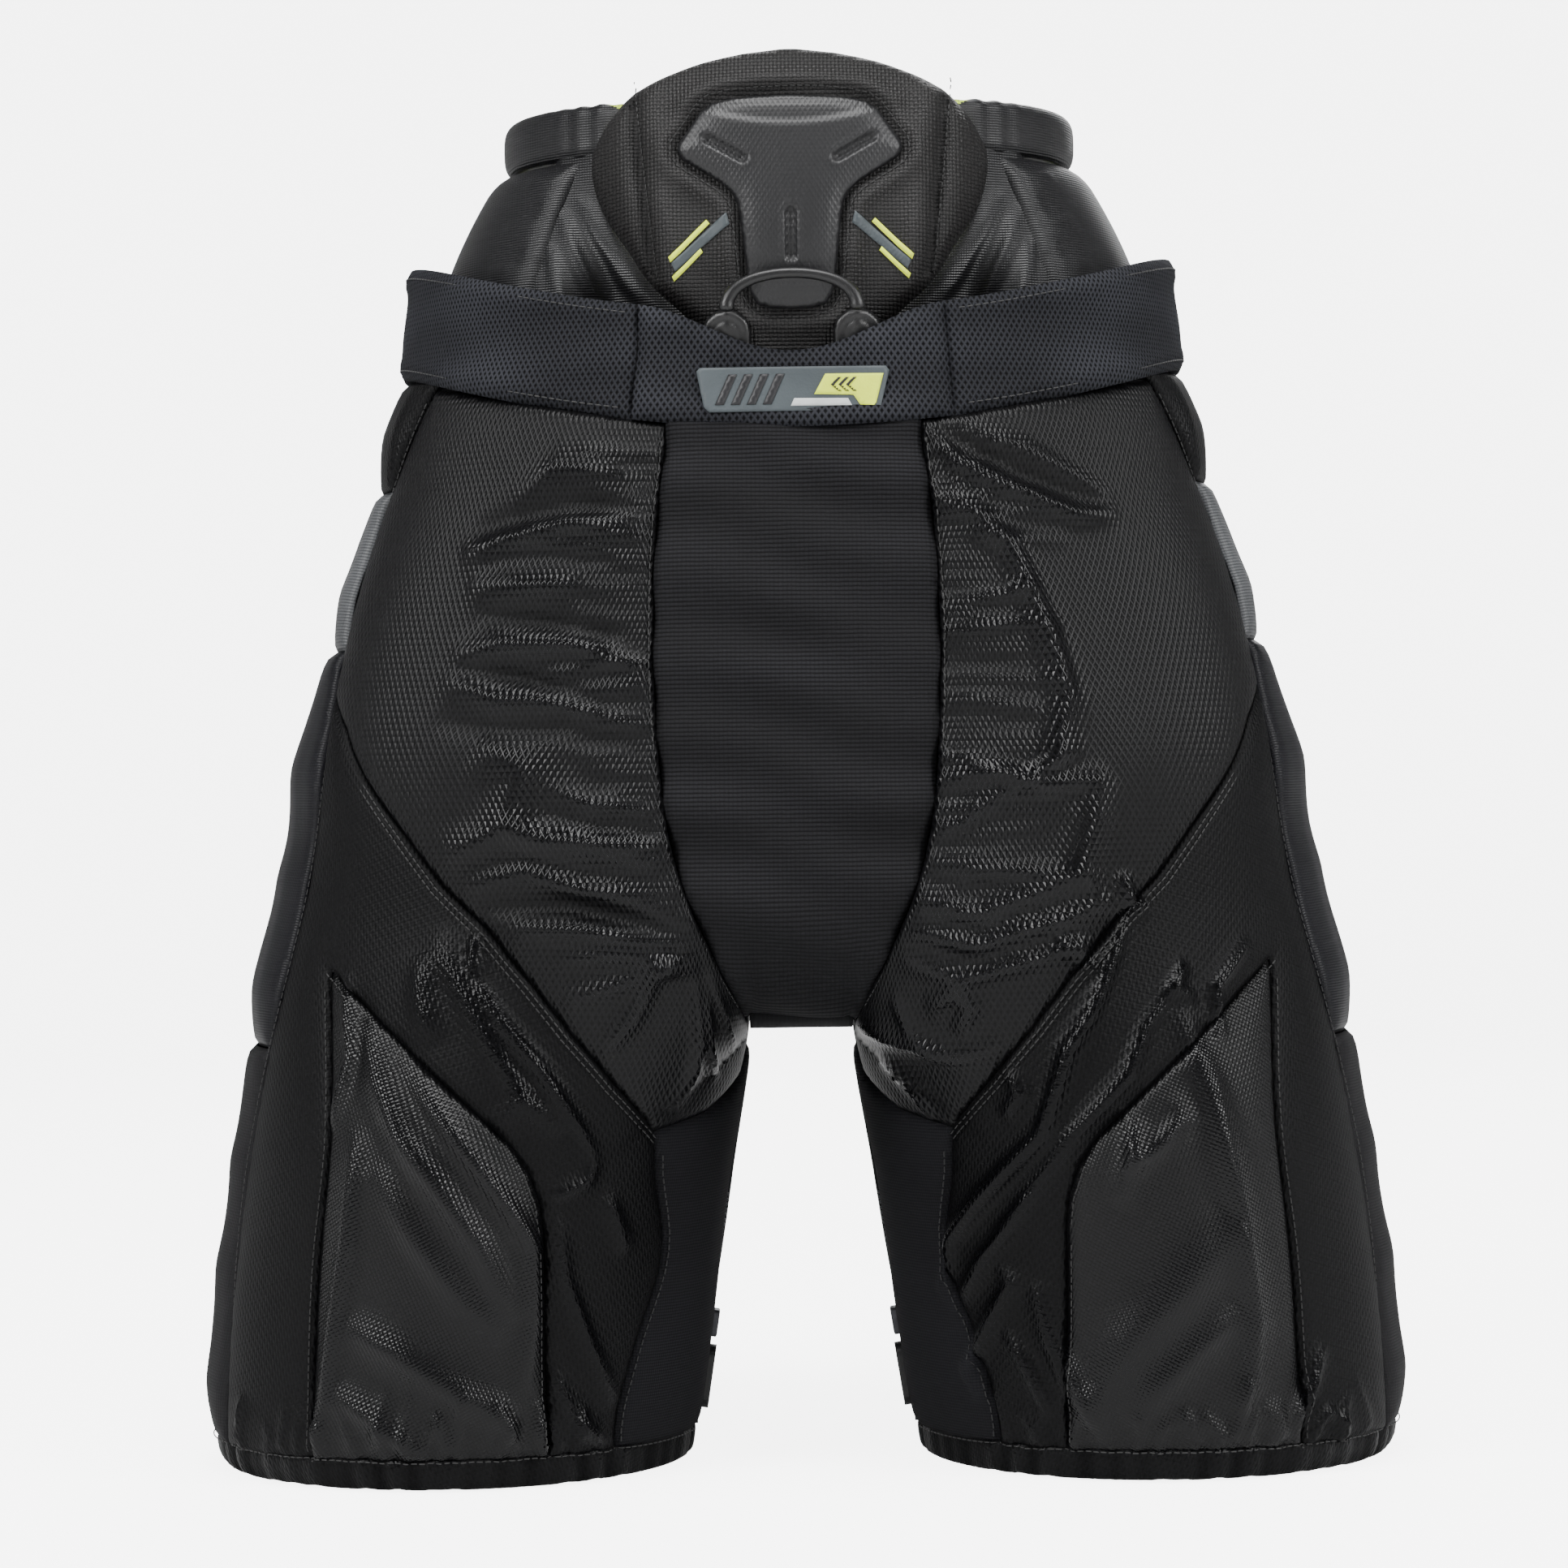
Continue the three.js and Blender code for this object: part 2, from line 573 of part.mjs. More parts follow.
// Front buckle on the face of the belt: a socket on a strap, and the tongue that slides out of it.
const buckleFace = waistHalfDepth + beltThickness / 2 + layerGap;
const buckleMiddle = beltFrontHeight + beltWidth / 2;
function plate(width, height, thickness) {
  return new THREE.BoxGeometry(width, thickness, height);
}
function along(profile, length) {
  const geometry = new THREE.ExtrudeGeometry(profile, { depth: length, bevelEnabled: false });
  geometry.rotateY(Math.PI / 2);
  geometry.rotateX(Math.PI / 2);
  return geometry;
}
const rectangle = (width, height) => [[-1, -1], [1, -1], [1, 1], [-1, 1]].map(
  ([x, y]) => new THREE.Vector2((x * width) / 2, (y * height) / 2));
const socketShape = new THREE.Shape(rectangle(buckleDepth, buckleHeight));
const slot = rectangle(buckleDepth - 2 * buckleWall, buckleHeight - 2 * buckleWall);
socketShape.holes.push(new THREE.Path(slot.reverse()));
const socket = add('buckle_socket', along(socketShape, buckleLength), mouldedBlack);
socket.position.set(-buckleLength, buckleFace + buckleDepth / 2, buckleMiddle);
const prong = buckleHeight / 2 - buckleWall - 1;
const tongueShape = new THREE.Shape([
  [buckleLength / 2, -buckleHeight / 2], [buckleLength / 2, buckleHeight / 2],
  [touchGap, buckleHeight / 2], [touchGap, prong], [-buckleLength * 0.6, prong],
  [-buckleLength * 0.6, prong - 5], [touchGap + 3, prong - 5], [touchGap + 3, 5 - prong],
  [-buckleLength * 0.6, 5 - prong], [-buckleLength * 0.6, -prong], [touchGap, -prong],
  [touchGap, -buckleHeight / 2],
].map(([x, y]) => new THREE.Vector2(x, y)));
const tongueDepth = buckleDepth - 2 * buckleWall - 1;
const tongueGeometry = new THREE.ExtrudeGeometry(tongueShape, {
  depth: tongueDepth, bevelEnabled: false,
});
tongueGeometry.rotateX(Math.PI / 2);
const tongue = add('buckle_tongue', tongueGeometry, mouldedBlack);
tongue.position.set(0, buckleFace + (buckleDepth + tongueDepth) / 2, buckleMiddle);
const strapY = buckleFace + buckleDepth / 2;
const strap = plate(strapLength, strapHeight, strapThickness);
add('belt_strap_left', strap, webbing).position.set(
  -buckleLength - touchGap - strapLength / 2, strapY, buckleMiddle);
add('belt_strap_right', strap.clone(), webbing).position.set(
  buckleLength / 2 + touchGap + strapLength / 2, strapY, buckleMiddle);

export default garment;
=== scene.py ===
import math

import bpy
import numpy as np
from mathutils import Matrix, Vector


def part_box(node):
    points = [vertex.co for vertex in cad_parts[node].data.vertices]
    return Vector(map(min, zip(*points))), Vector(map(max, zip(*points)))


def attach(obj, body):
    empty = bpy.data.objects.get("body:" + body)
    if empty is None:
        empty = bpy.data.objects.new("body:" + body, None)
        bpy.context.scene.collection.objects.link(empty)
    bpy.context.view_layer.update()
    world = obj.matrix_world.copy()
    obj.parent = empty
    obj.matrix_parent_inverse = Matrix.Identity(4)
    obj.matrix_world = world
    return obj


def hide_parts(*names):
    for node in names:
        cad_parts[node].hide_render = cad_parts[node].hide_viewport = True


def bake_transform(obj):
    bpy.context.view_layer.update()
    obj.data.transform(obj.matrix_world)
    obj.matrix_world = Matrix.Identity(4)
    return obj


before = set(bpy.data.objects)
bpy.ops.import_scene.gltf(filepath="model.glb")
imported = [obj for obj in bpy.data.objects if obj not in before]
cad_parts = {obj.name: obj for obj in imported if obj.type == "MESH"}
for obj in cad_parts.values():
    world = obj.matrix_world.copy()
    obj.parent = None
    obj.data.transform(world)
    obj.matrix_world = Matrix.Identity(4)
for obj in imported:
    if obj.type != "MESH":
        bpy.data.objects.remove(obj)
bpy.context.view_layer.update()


# --- Studio -----------------------------------------------------------------------------------
# The pants stand on a pale floor that curves up all round into a bright backdrop, between two
# large soft lights in front and a third overhead.

lens = bpy.data.cameras.new("camera")
lens.lens = 100
lens.sensor_width = 36
camera = bpy.data.objects.new("camera", lens)
bpy.context.scene.collection.objects.link(camera)
camera.matrix_world = (Matrix.Translation((-0.006, -1.905, 0.291))
                       @ Matrix.Rotation(math.radians(90), 4, "X")
                       @ Matrix.Rotation(math.radians(-0.8), 4, "Z"))
bpy.context.scene.camera = camera


def shader(name):
    """A new material, its node tree, and its Principled shader."""
    material = bpy.data.materials.new(name)
    material.use_nodes = True
    return material, material.node_tree, material.node_tree.nodes["Principled BSDF"]


def plug(tree, made, links):
    """Plugs (input, value or socket) pairs into a shader node."""
    for name, source in links:
        if isinstance(source, bpy.types.NodeSocket):
            tree.links.new(source, made.inputs[name])
        else:
            made.inputs[name].default_value = source


def node(tree, kind, links=(), **settings):
    """A shader node with its settings, and its inputs plugged in."""
    made = tree.nodes.new(kind)
    for key, setting in settings.items():
        setattr(made, key, setting)
    plug(tree, made, links)
    return made


def own_place(tree):
    """Where a point lies on the piece itself."""
    return node(tree, "ShaderNodeTexCoord").outputs["Object"]


def started(primitive, name, **settings):
    """A new piece, begun from one of Blender's primitives."""
    bpy.ops.object.select_all(action="DESELECT")
    primitive(**settings)
    piece = bpy.context.object
    piece.name = piece.data.name = name
    return piece


def places(piece):
    """The piece's vertex positions, as rows of x, y, z."""
    rows = np.empty(len(piece.data.vertices) * 3)
    piece.data.vertices.foreach_get("co", rows)
    return rows.reshape(-1, 3)


def set_places(piece, rows):
    """Puts the piece's vertices at rows of x, y, z."""
    piece.data.vertices.foreach_set("co", np.ascontiguousarray(rows, float).ravel())
    piece.data.update()


floor = started(bpy.ops.mesh.primitive_grid_add, "floor", x_subdivisions=90, y_subdivisions=90,
                size=11)
rows = places(floor)
out = np.maximum(np.hypot(rows[:, 0], rows[:, 1]) - 3, 0)
rows[:, 2] = 0.8 * out ** 2 - 0.0005
set_places(floor, rows)
bpy.ops.object.shade_smooth()
paper, tree, face = shader("paper")
speckle = node(tree, "ShaderNodeTexNoise", [("Scale", 40.0)])
tint = node(tree, "ShaderNodeMapRange", [("Value", speckle.outputs["Fac"]), ("To Min", 0.84),
                                         ("To Max", 0.88)])
plug(tree, face, [("Base Color", tint.outputs["Result"])])
seen = node(tree, "ShaderNodeLightPath")
glow = node(tree, "ShaderNodeMath", [(0, seen.outputs["Is Camera Ray"]), (1, 5.5)],
            operation="MULTIPLY")
plug(tree, face, [("Roughness", 0.9), ("Emission Color", (1, 1, 1, 1)),
                  ("Emission Strength", glow.outputs[0])])
floor.data.materials.append(paper)

for name, place, size, power in [
        ("left_softbox", (-1.7, -1.5, 1.5), 0.9, 52), ("right_softbox", (1.8, -1.3, 1.3), 0.9, 42),
        ("top_softbox", (0, -0.6, 2.2), 1.0, 42), ("rear_softbox", (0.4, 2.2, 1.7), 1.4, 26)]:
    lamp = bpy.data.lights.new(name, "AREA")
    lamp.size = size
    lamp.energy = power
    light = bpy.data.objects.new(name, lamp)
    bpy.context.scene.collection.objects.link(light)
    toward = Vector((0, 0, 0.3)) - Vector(place)
    light.matrix_world = (Matrix.Translation(place)
                          @ toward.to_track_quat("-Z", "Y").to_matrix().to_4x4())
sky = bpy.data.worlds.new("sky")
sky.use_nodes = True
plug(sky.node_tree, sky.node_tree.nodes["Background"], [("Color", (1, 1, 1, 1)), ("Strength", 0.06)])
bpy.context.scene.world = sky


# --- Centre back panel --------------------------------------------------------------------------
# One tapering panel of matte stretch knit down the middle of the seat, sewn to a glossy seat panel
# on each side and to the crotch gusset at its foot. Fine ribs run across it in soft bands.

def curve(points):
    """A smooth curve through pairs of millimetres, level beyond its ends, read in metres."""
    at, value = np.array(points, float).T / 1000
    slope = np.gradient(value, at)
    slope[[0, -1]] = 0

    def read(where):
        where = np.clip(where, at[0], at[-1])
        i = np.clip(np.searchsorted(at, where) - 1, 0, len(at) - 2)
        span = at[i + 1] - at[i]
        t = (where - at[i]) / span
        start = (2 * t - 3) * t * t + 1
        return (start * value[i] + (1 - start) * value[i + 1]
                + ((t - 2) * t + 1) * t * span * slope[i] + (t - 1) * t * t * span * slope[i + 1])
    return read


half_width = curve([(0, 253), (8, 255.5), (18, 256), (51, 254), (84, 250.5), (118, 246), (151, 241),
                    (184, 236.5), (218, 230.5), (251, 221.5), (268, 218.5), (301, 215), (335, 205),
                    (368, 195), (385, 189.5), (418, 179.5), (435, 176.5), (456, 171.5), (468, 168.5),
                    (509, 164.5)])
half_depth = curve([(-60, 96), (0, 102), (187, 120), (275, 126), (380, 120), (468, 107), (520, 107)])
inner_edge = curve([(-40, 56), (0, 51), (60, 42), (120, 33), (187, 22), (230, 22)])
CROTCH = 0.187
RISE = 0.058
HEM = 0.012
GIRTH = 0.107  # metres of flat cloth to a radian round a leg
HIP_SQUARENESS = 2.3


def depth(across, height):
    """How far the garment's skin stands from the x-z plane."""
    across = np.abs(across)
    outer, inner = half_width(height), inner_edge(height)
    share = np.clip((2 * across - outer - inner) / (outer - inner), -1, 1)
    leg = np.sqrt(1 - share ** 2)
    away = np.clip((across - inner) / 0.06, 0, 1)
    rise = np.clip((height - CROTCH + 0.06 * away) / (RISE + 0.06 * away), 0, 1)
    merged = (1 - away) * np.sqrt(1 - (1 - rise) ** 2) + away * rise ** 2 * (3 - 2 * rise)
    hip = (1 - np.minimum(across / outer, 1) ** HIP_SQUARENESS) ** (1 / HIP_SQUARENESS)
    return half_depth(height) * ((1 - merged) * leg + merged * hip)


def leg_span(height):
    """The middle of the right half, and how far it reaches to each side of it."""
    outer, inner = half_width(height), inner_edge(height)
    return (outer + inner) / 2, (outer - inner) / 2


def leg_skin(angle, height):
    """A point on the right half, by its angle: 0 inner thigh, 90 back, 180 outside, 270 front."""
    middle, reach = leg_span(height)
    across = middle - reach * np.cos(angle)
    return np.stack([across, -np.sign(np.sin(angle)) * depth(across, height), height], -1)


def centre_skin(across, height):
    """A point on the back between the two halves, by its distance from the middle."""
    return np.stack([across, -depth(across, height), height + 0 * across], -1)


def lifted(skin, u, v, lift, step=0.002):
    """Points on a skin, raised from it by lift."""
    u, v = np.asarray(u, float), np.asarray(v, float)
    along = skin(u + step, v) - skin(u - step, v)
    up = skin(u, v + step) - skin(u, v - step)
    out = np.cross(along, up)
    out /= np.maximum(np.linalg.norm(out, axis=-1, keepdims=True), 1e-9)
    return skin(u, v) + out * np.asarray(lift)[..., None]


def angle_at(across, height):
    """The angle on a half's back where its skin passes a distance from the middle."""
    middle, reach = leg_span(height)
    return np.arccos(np.clip((middle - across) / reach, -1, 1))


def sampled(corners, step=0.007):
    """A line through corners with a point at least every step."""
    corners = np.array(corners, float)
    parts = [corners[:1]]
    for a, b in zip(corners[:-1], corners[1:]):
        n = max(1, math.ceil(np.linalg.norm(b - a) / step))
        parts.append(a + (b - a) * (np.arange(1, n + 1) / n)[:, None])
    return np.concatenate(parts)


def closed(outline):
    """An outline with its first corner once more at its end."""
    return np.vstack([outline, outline[:1]])


def traced(outline, step):
    """An outline with a corner at least every step."""
    return sampled(closed(outline), step)[:-1]


def nearest(points, line):
    """For each point its distance to a line, the closest point on it, and how far along it lies."""
    a, b = line[:-1], line[1:]
    span = b - a
    length = np.maximum((span ** 2).sum(1), 1e-12)
    best = np.full(len(points), 1e9)
    spot, share = np.zeros_like(points), np.zeros(len(points))
    run = np.concatenate([[0], np.cumsum(np.sqrt(length))])
    for i in range(len(a)):
        t = np.clip((points - a[i]) @ span[i] / length[i], 0, 1)
        at = a[i] + t[:, None] * span[i]
        far = np.linalg.norm(points - at, axis=1)
        closer = far < best
        best[closer], spot[closer] = far[closer], at[closer]
        share[closer] = (run[i] + t[closer] * np.sqrt(length[i])) / run[-1]
    return best, spot, share


def inside(points, outline):
    """Which points lie within an outline."""
    x, y = points[:, 0], points[:, 1]
    within = np.zeros(len(points), bool)
    for (ax, ay), (bx, by) in zip(outline, np.roll(outline, -1, 0)):
        if ay != by:
            within ^= ((ay > y) != (by > y)) & (x < (bx - ax) * (y - ay) / (by - ay) + ax)
    return within


def cut_cloth(name, outline, cell):
    """Cloth cut flat along an outline: a grid whose edge follows it, with its flat place as UV.
    Gives the piece and its flat points."""
    outline = np.asarray(outline, float)
    low, high = outline.min(0) - cell / 3, outline.max(0) + cell / 3
    count = np.ceil((high - low) / cell).astype(int)
    piece = started(bpy.ops.mesh.primitive_grid_add, name, x_subdivisions=int(count[0]),
                    y_subdivisions=int(count[1]), size=1)
    set_places(piece, np.column_stack([
        low + (places(piece)[:, :2] + 0.5) * (high - low), np.zeros(len(piece.data.vertices))]))
    middles = np.empty(len(piece.data.polygons) * 3)
    piece.data.polygons.foreach_get("center", middles)
    off = ~inside(middles.reshape(-1, 3)[:, :2], outline)
    bpy.context.tool_settings.mesh_select_mode = (False, False, True)
    for part in (piece.data.vertices, piece.data.edges):
        part.foreach_set("select", np.zeros(len(part), bool))
    piece.data.polygons.foreach_set("select", off)
    if off.any():
        bpy.ops.object.mode_set(mode="EDIT")
        bpy.ops.mesh.delete(type="FACE")
        bpy.ops.object.mode_set(mode="OBJECT")
    mesh = piece.data
    ends = np.empty(len(mesh.edges) * 2, int)
    mesh.edges.foreach_get("vertices", ends)
    ends = ends.reshape(-1, 2)
    owner = np.empty(len(mesh.loops), int)
    mesh.loops.foreach_get("edge_index", owner)
    border = np.zeros(len(mesh.vertices), bool)
    border[ends[np.bincount(owner, minlength=len(ends)) == 1].ravel()] = True
    flat = places(piece)[:, :2]
    flat[border] = nearest(flat[border], closed(outline))[1]
    step = np.roll(outline, -1, 0) - outline
    turn = np.arctan2(step[:, 1], step[:, 0])
    bend = np.abs((turn - np.roll(turn, 1) + math.pi) % (2 * math.pi) - math.pi)
    edge = np.flatnonzero(border)
    for corner in outline[bend > 0.6]:
        flat[edge[np.argmin(np.linalg.norm(flat[edge] - corner, axis=1))]] = corner
    near = np.bincount(ends.ravel(), minlength=len(flat))
    for _ in range(6):
        total = np.zeros_like(flat)
        np.add.at(total, ends[:, 0], flat[ends[:, 1]])
        np.add.at(total, ends[:, 1], flat[ends[:, 0]])
        flat = np.where(border[:, None], flat, 0.5 * flat + 0.5 * total / near[:, None])
    corner_of = np.empty(len(mesh.loops), int)
    mesh.loops.foreach_get("vertex_index", corner_of)
    mesh.uv_layers[0].name = "cloth"
    mesh.uv_layers[0].data.foreach_set("uv", flat[corner_of].ravel())
    return piece, flat


def stored(piece, name, values):
    """Keeps one number per vertex on the piece, for its material."""
    held = piece.data.attributes.new(name, "FLOAT", "POINT")
    held.data.foreach_set("value", np.asarray(values, np.float32))


def reworked(piece, *steps):
    """Runs mesh operators over the whole of a piece."""
    bpy.ops.object.select_all(action="DESELECT")
    piece.select_set(True)
    bpy.context.view_layer.objects.active = piece
    bpy.ops.object.mode_set(mode="EDIT")
    bpy.ops.mesh.select_all(action="SELECT")
    for step in steps:
        step()
    bpy.ops.object.mode_set(mode="OBJECT")


def put(piece, rows, side=1):
    """Puts a piece in its place on the right half, or mirrored on the left where side is -1."""
    set_places(piece, rows * (side, 1, 1))
    if side < 0:
        reworked(piece, bpy.ops.mesh.flip_normals)


def walled(piece, material, thickness):
    """Gives a skin its finish, and a wall behind it."""
    piece.data.materials.append(material)
    piece.data.shade_smooth()
    wall = piece.modifiers.new("thickness", "SOLIDIFY")
    wall.thickness, wall.offset = thickness, -1


def sewn(piece, material, thickness):
    walled(piece, material, thickness)
    mesh = piece.data
    mesh.calc_loop_triangles()
    corners = np.empty(len(mesh.loop_triangles) * 3, int)
    mesh.loop_triangles.foreach_get("vertices", corners)
    a, b, c = np.moveaxis(places(piece)[corners.reshape(-1, 3)], 1, 0)
    size = places(piece).max(0) - places(piece).min(0)
    return piece


def pinched(flat, outline, puff=0.0016, groove=0.0012):
    """Fabric stands up between its seams and is drawn in along them."""
    far = nearest(flat, closed(outline))[0]
    return puff * (1 - np.exp(-far / 0.009)) - groove * np.exp(-(far / 0.0016) ** 2)


def ridges(flat, folds):
    """Height of a set of folds, each (line, width, height), at flat points."""
    total = np.zeros(len(flat))
    for line, width, height in folds:
        line = np.asarray(line, float)
        low, high = line.min(0) - 3.2 * width, line.max(0) + 3.2 * width
        close = np.flatnonzero(((flat > low) & (flat < high)).all(1))
        if len(close):
            far, _, share = nearest(flat[close], line)
            taper = np.clip(4.4 * share * (1 - share), 0, 1) ** 0.6
            total[close] += height * taper * np.exp(-np.abs(far / width) ** 1.7)
    return total


# A weave group, shared by every fabric. Threads cross as a plain weave, a slanted open mesh, or
# ribs, and it gives their height and a mask of how much thread is on top.
weave = bpy.data.node_groups.new("weave", "ShaderNodeTree")
for name, way, kind in [("Vector", "INPUT", "Vector"), ("Threads", "INPUT", "Float"),
                        ("Slant", "INPUT", "Float"), ("Rib", "INPUT", "Float"),
                        ("Height", "OUTPUT", "Float"), ("Top", "OUTPUT", "Float")]:
    weave.interface.new_socket(name, in_out=way, socket_type=f"NodeSocket{kind}")
inlet = weave.nodes.new("NodeGroupInput")
outlet = weave.nodes.new("NodeGroupOutput")


def sums(tree, operation, *values):
    """A maths node's result."""
    return node(tree, "ShaderNodeMath", list(enumerate(values)), operation=operation).outputs[0]


wander = node(weave, "ShaderNodeTexNoise", [("Vector", inlet.outputs["Vector"]), ("Scale", 160.0),
                                            ("Detail", 1.0)])
drift = node(weave, "ShaderNodeVectorMath", [(0, wander.outputs["Color"]), (1, (0.5, 0.5, 0.5))],
             operation="SUBTRACT")
drift = node(weave, "ShaderNodeVectorMath", [(0, drift.outputs[0]), ("Scale", 0.0003)],
             operation="SCALE")
moved = node(weave, "ShaderNodeVectorMath", [(0, inlet.outputs["Vector"]), (1, drift.outputs[0])],
             operation="ADD")
scaled = node(weave, "ShaderNodeVectorMath", [(0, moved.outputs[0]),
                                              ("Scale", inlet.outputs["Threads"])],
              operation="SCALE")
split = node(weave, "ShaderNodeSeparateXYZ", [("Vector", scaled.outputs[0])])
x, y = split.outputs["X"], split.outputs["Y"]
wave_x, wave_y = [sums(weave, "SINE", sums(weave, "MULTIPLY", one, math.pi)) for one in (x, y)]
warp, weft = [sums(weave, "ABSOLUTE", one) for one in (wave_x, wave_y)]
over = sums(weave, "MULTIPLY_ADD", sums(weave, "MULTIPLY", wave_x, wave_y), 0.5, 0.5)
plain = sums(weave, "ADD", sums(weave, "MULTIPLY", over, warp),
             sums(weave, "MULTIPLY", sums(weave, "SUBTRACT", 1.0, over), weft))
leant = sums(weave, "MULTIPLY", y, 0.62)
rising, falling = [
    sums(weave, "ABSOLUTE", sums(weave, "COSINE", sums(
        weave, "MULTIPLY", sums(weave, way, x, leant), math.pi / 2)))
    for way in ("ADD", "SUBTRACT")]
slant = sums(weave, "POWER", sums(weave, "MAXIMUM", rising, falling), 2.0)
woven = node(weave, "ShaderNodeMix", [("Factor", inlet.outputs["Slant"]), (2, plain), (3, slant)],
             data_type="FLOAT").outputs[0]
ribbed = sums(weave, "MULTIPLY", weft, sums(weave, "MULTIPLY_ADD", warp, 0.25, 0.75))
height = node(weave, "ShaderNodeMix", [("Factor", inlet.outputs["Rib"]), (2, woven), (3, ribbed)],
              data_type="FLOAT").outputs[0]
top = node(weave, "ShaderNodeMapRange", [("Value", height), ("From Min", 0.25), ("From Max", 0.9)])
plug(weave, outlet, [("Height", height), ("Top", top.outputs["Result"])])

# A wear and shading group, shared by every fabric: slow changes of colour, flecks of lint, painted
# shade in the hollows of the folds and painted light on their crests, and a polish on the crests,
# the last two from the piece's own fold height.
wear_and_fold_shading = bpy.data.node_groups.new("wear_and_fold_shading", "ShaderNodeTree")
for name, way, kind in [("Vector", "INPUT", "Vector"), ("Colour", "INPUT", "Color"),
                        ("Roughness", "INPUT", "Float"), ("Crest", "INPUT", "Float"),
                        ("Polish", "INPUT", "Float"), ("Colour", "OUTPUT", "Color"),
                        ("Roughness", "OUTPUT", "Float")]:
    wear_and_fold_shading.interface.new_socket(name, in_out=way, socket_type=f"NodeSocket{kind}")
inlet = wear_and_fold_shading.nodes.new("NodeGroupInput")
outlet = wear_and_fold_shading.nodes.new("NodeGroupOutput")
cloudy = node(wear_and_fold_shading, "ShaderNodeTexNoise", [("Vector", inlet.outputs["Vector"]), ("Scale", 14.0),
                                               ("Detail", 4.0)])
fleck = node(wear_and_fold_shading, "ShaderNodeTexNoise", [("Vector", inlet.outputs["Vector"]),
                                              ("Scale", 2600.0), ("Detail", 1.0)])
lint = node(wear_and_fold_shading, "ShaderNodeMapRange", [("Value", fleck.outputs["Fac"]), ("From Min", 0.66),
                                             ("From Max", 0.8), ("To Max", 0.035)])
shade = node(wear_and_fold_shading, "ShaderNodeMapRange", [("Value", cloudy.outputs["Fac"]), ("From Min", 0.3),
                                              ("From Max", 0.7), ("To Min", 0.82), ("To Max", 1.2)])
# Painted shade and light: the colour darkens in the hollows of the folds and lightens on their crests.
painted_fold_shading = node(wear_and_fold_shading, "ShaderNodeMapRange", [("Value", inlet.outputs["Crest"]), ("From Min", -0.6),
                                             ("From Max", 1.4), ("To Min", 0.8), ("To Max", 1.25)])
amount = sums(wear_and_fold_shading, "MULTIPLY", shade.outputs["Result"], painted_fold_shading.outputs["Result"])
toned = node(wear_and_fold_shading, "ShaderNodeVectorMath", [(0, inlet.outputs["Colour"]), ("Scale", amount)],
             operation="SCALE")
dusted = node(wear_and_fold_shading, "ShaderNodeMix", [("Factor", lint.outputs["Result"]),
                                          (6, toned.outputs[0]), (7, (0.5, 0.5, 0.52, 1))],
              data_type="RGBA")
gloss = sums(wear_and_fold_shading, "MULTIPLY", inlet.outputs["Crest"], inlet.outputs["Polish"])
rough = sums(wear_and_fold_shading, "SUBTRACT", inlet.outputs["Roughness"], gloss)
rough = sums(wear_and_fold_shading, "MULTIPLY_ADD", sums(wear_and_fold_shading, "SUBTRACT", cloudy.outputs["Fac"], 0.5), 0.12,
             rough)
rough = node(wear_and_fold_shading, "ShaderNodeClamp", [("Value", rough), ("Min", 0.12)]).outputs[0]
plug(wear_and_fold_shading, outlet, [("Colour", dusted.outputs[2]), ("Roughness", rough)])


def fabric(name, valley, crown, threads, roughness, relief=0.35, slant=0.0, rib=0.0, turn=0.0,
           polish=0.0, specular=0.25, planar=None):
    """A woven or knitted fabric: the colour between and on its threads, threads per metre, and how
    rough, raised, slanted, ribbed and turned the weave is. It follows the cloth laid flat, or the
    piece itself turned by the angles of planar."""
    material, tree, face = shader(name)
    if planar is None:
        source = node(tree, "ShaderNodeUVMap", uv_map="cloth").outputs["UV"]
    else:
        source = node(tree, "ShaderNodeMapping", [("Vector", own_place(tree)),
                                                  ("Rotation", planar)]).outputs["Vector"]
    spun = node(tree, "ShaderNodeMapping", [("Vector", source), ("Rotation", (0, 0, turn))])
    threaded = node(tree, "ShaderNodeGroup", [
        ("Vector", spun.outputs["Vector"]), ("Threads", threads), ("Slant", slant), ("Rib", rib)],
        node_tree=weave)
    colour = node(tree, "ShaderNodeMix", [("Factor", threaded.outputs["Top"]), (6, (*valley, 1)),
                                          (7, (*crown, 1))], data_type="RGBA")
    # The fold height, from which the colour gets painted shade in the hollows and painted light on the
    # crests.
    crest = node(tree, "ShaderNodeAttribute", attribute_name="crest")
    used = node(tree, "ShaderNodeGroup", [
        ("Vector", source), ("Colour", colour.outputs[2]), ("Roughness", roughness),
        ("Crest", crest.outputs["Fac"]), ("Polish", polish)], node_tree=wear_and_fold_shading)
    bump = node(tree, "ShaderNodeBump", [("Height", threaded.outputs["Height"]),
                                         ("Strength", relief), ("Distance", 0.4 / threads)])
    plug(tree, face, [("Base Color", used.outputs["Colour"]), ("Roughness", used.outputs["Roughness"]),
                      ("Normal", bump.outputs["Normal"]), ("Specular IOR Level", specular)])
    return material


stretch_knit = fabric("stretch_knit", (0.0012, 0.0012, 0.0016), (0.0100, 0.0100, 0.0118), 560, 0.8,
                      rib=0.75, relief=0.5, specular=0.2)
centre_half = curve([(187, 22), (194, 24), (220, 36), (246, 47), (273, 54), (300, 57), (350, 59),
                     (400, 57), (438, 53)])


def belt_foot(across, middle=0.4385):
    """Height of the belt's lower edge at a distance from the middle, where its height is given."""
    share = np.clip(np.abs(across) / half_width(0.45), 0, 1)
    return middle + (0.468 - middle) * share ** 2


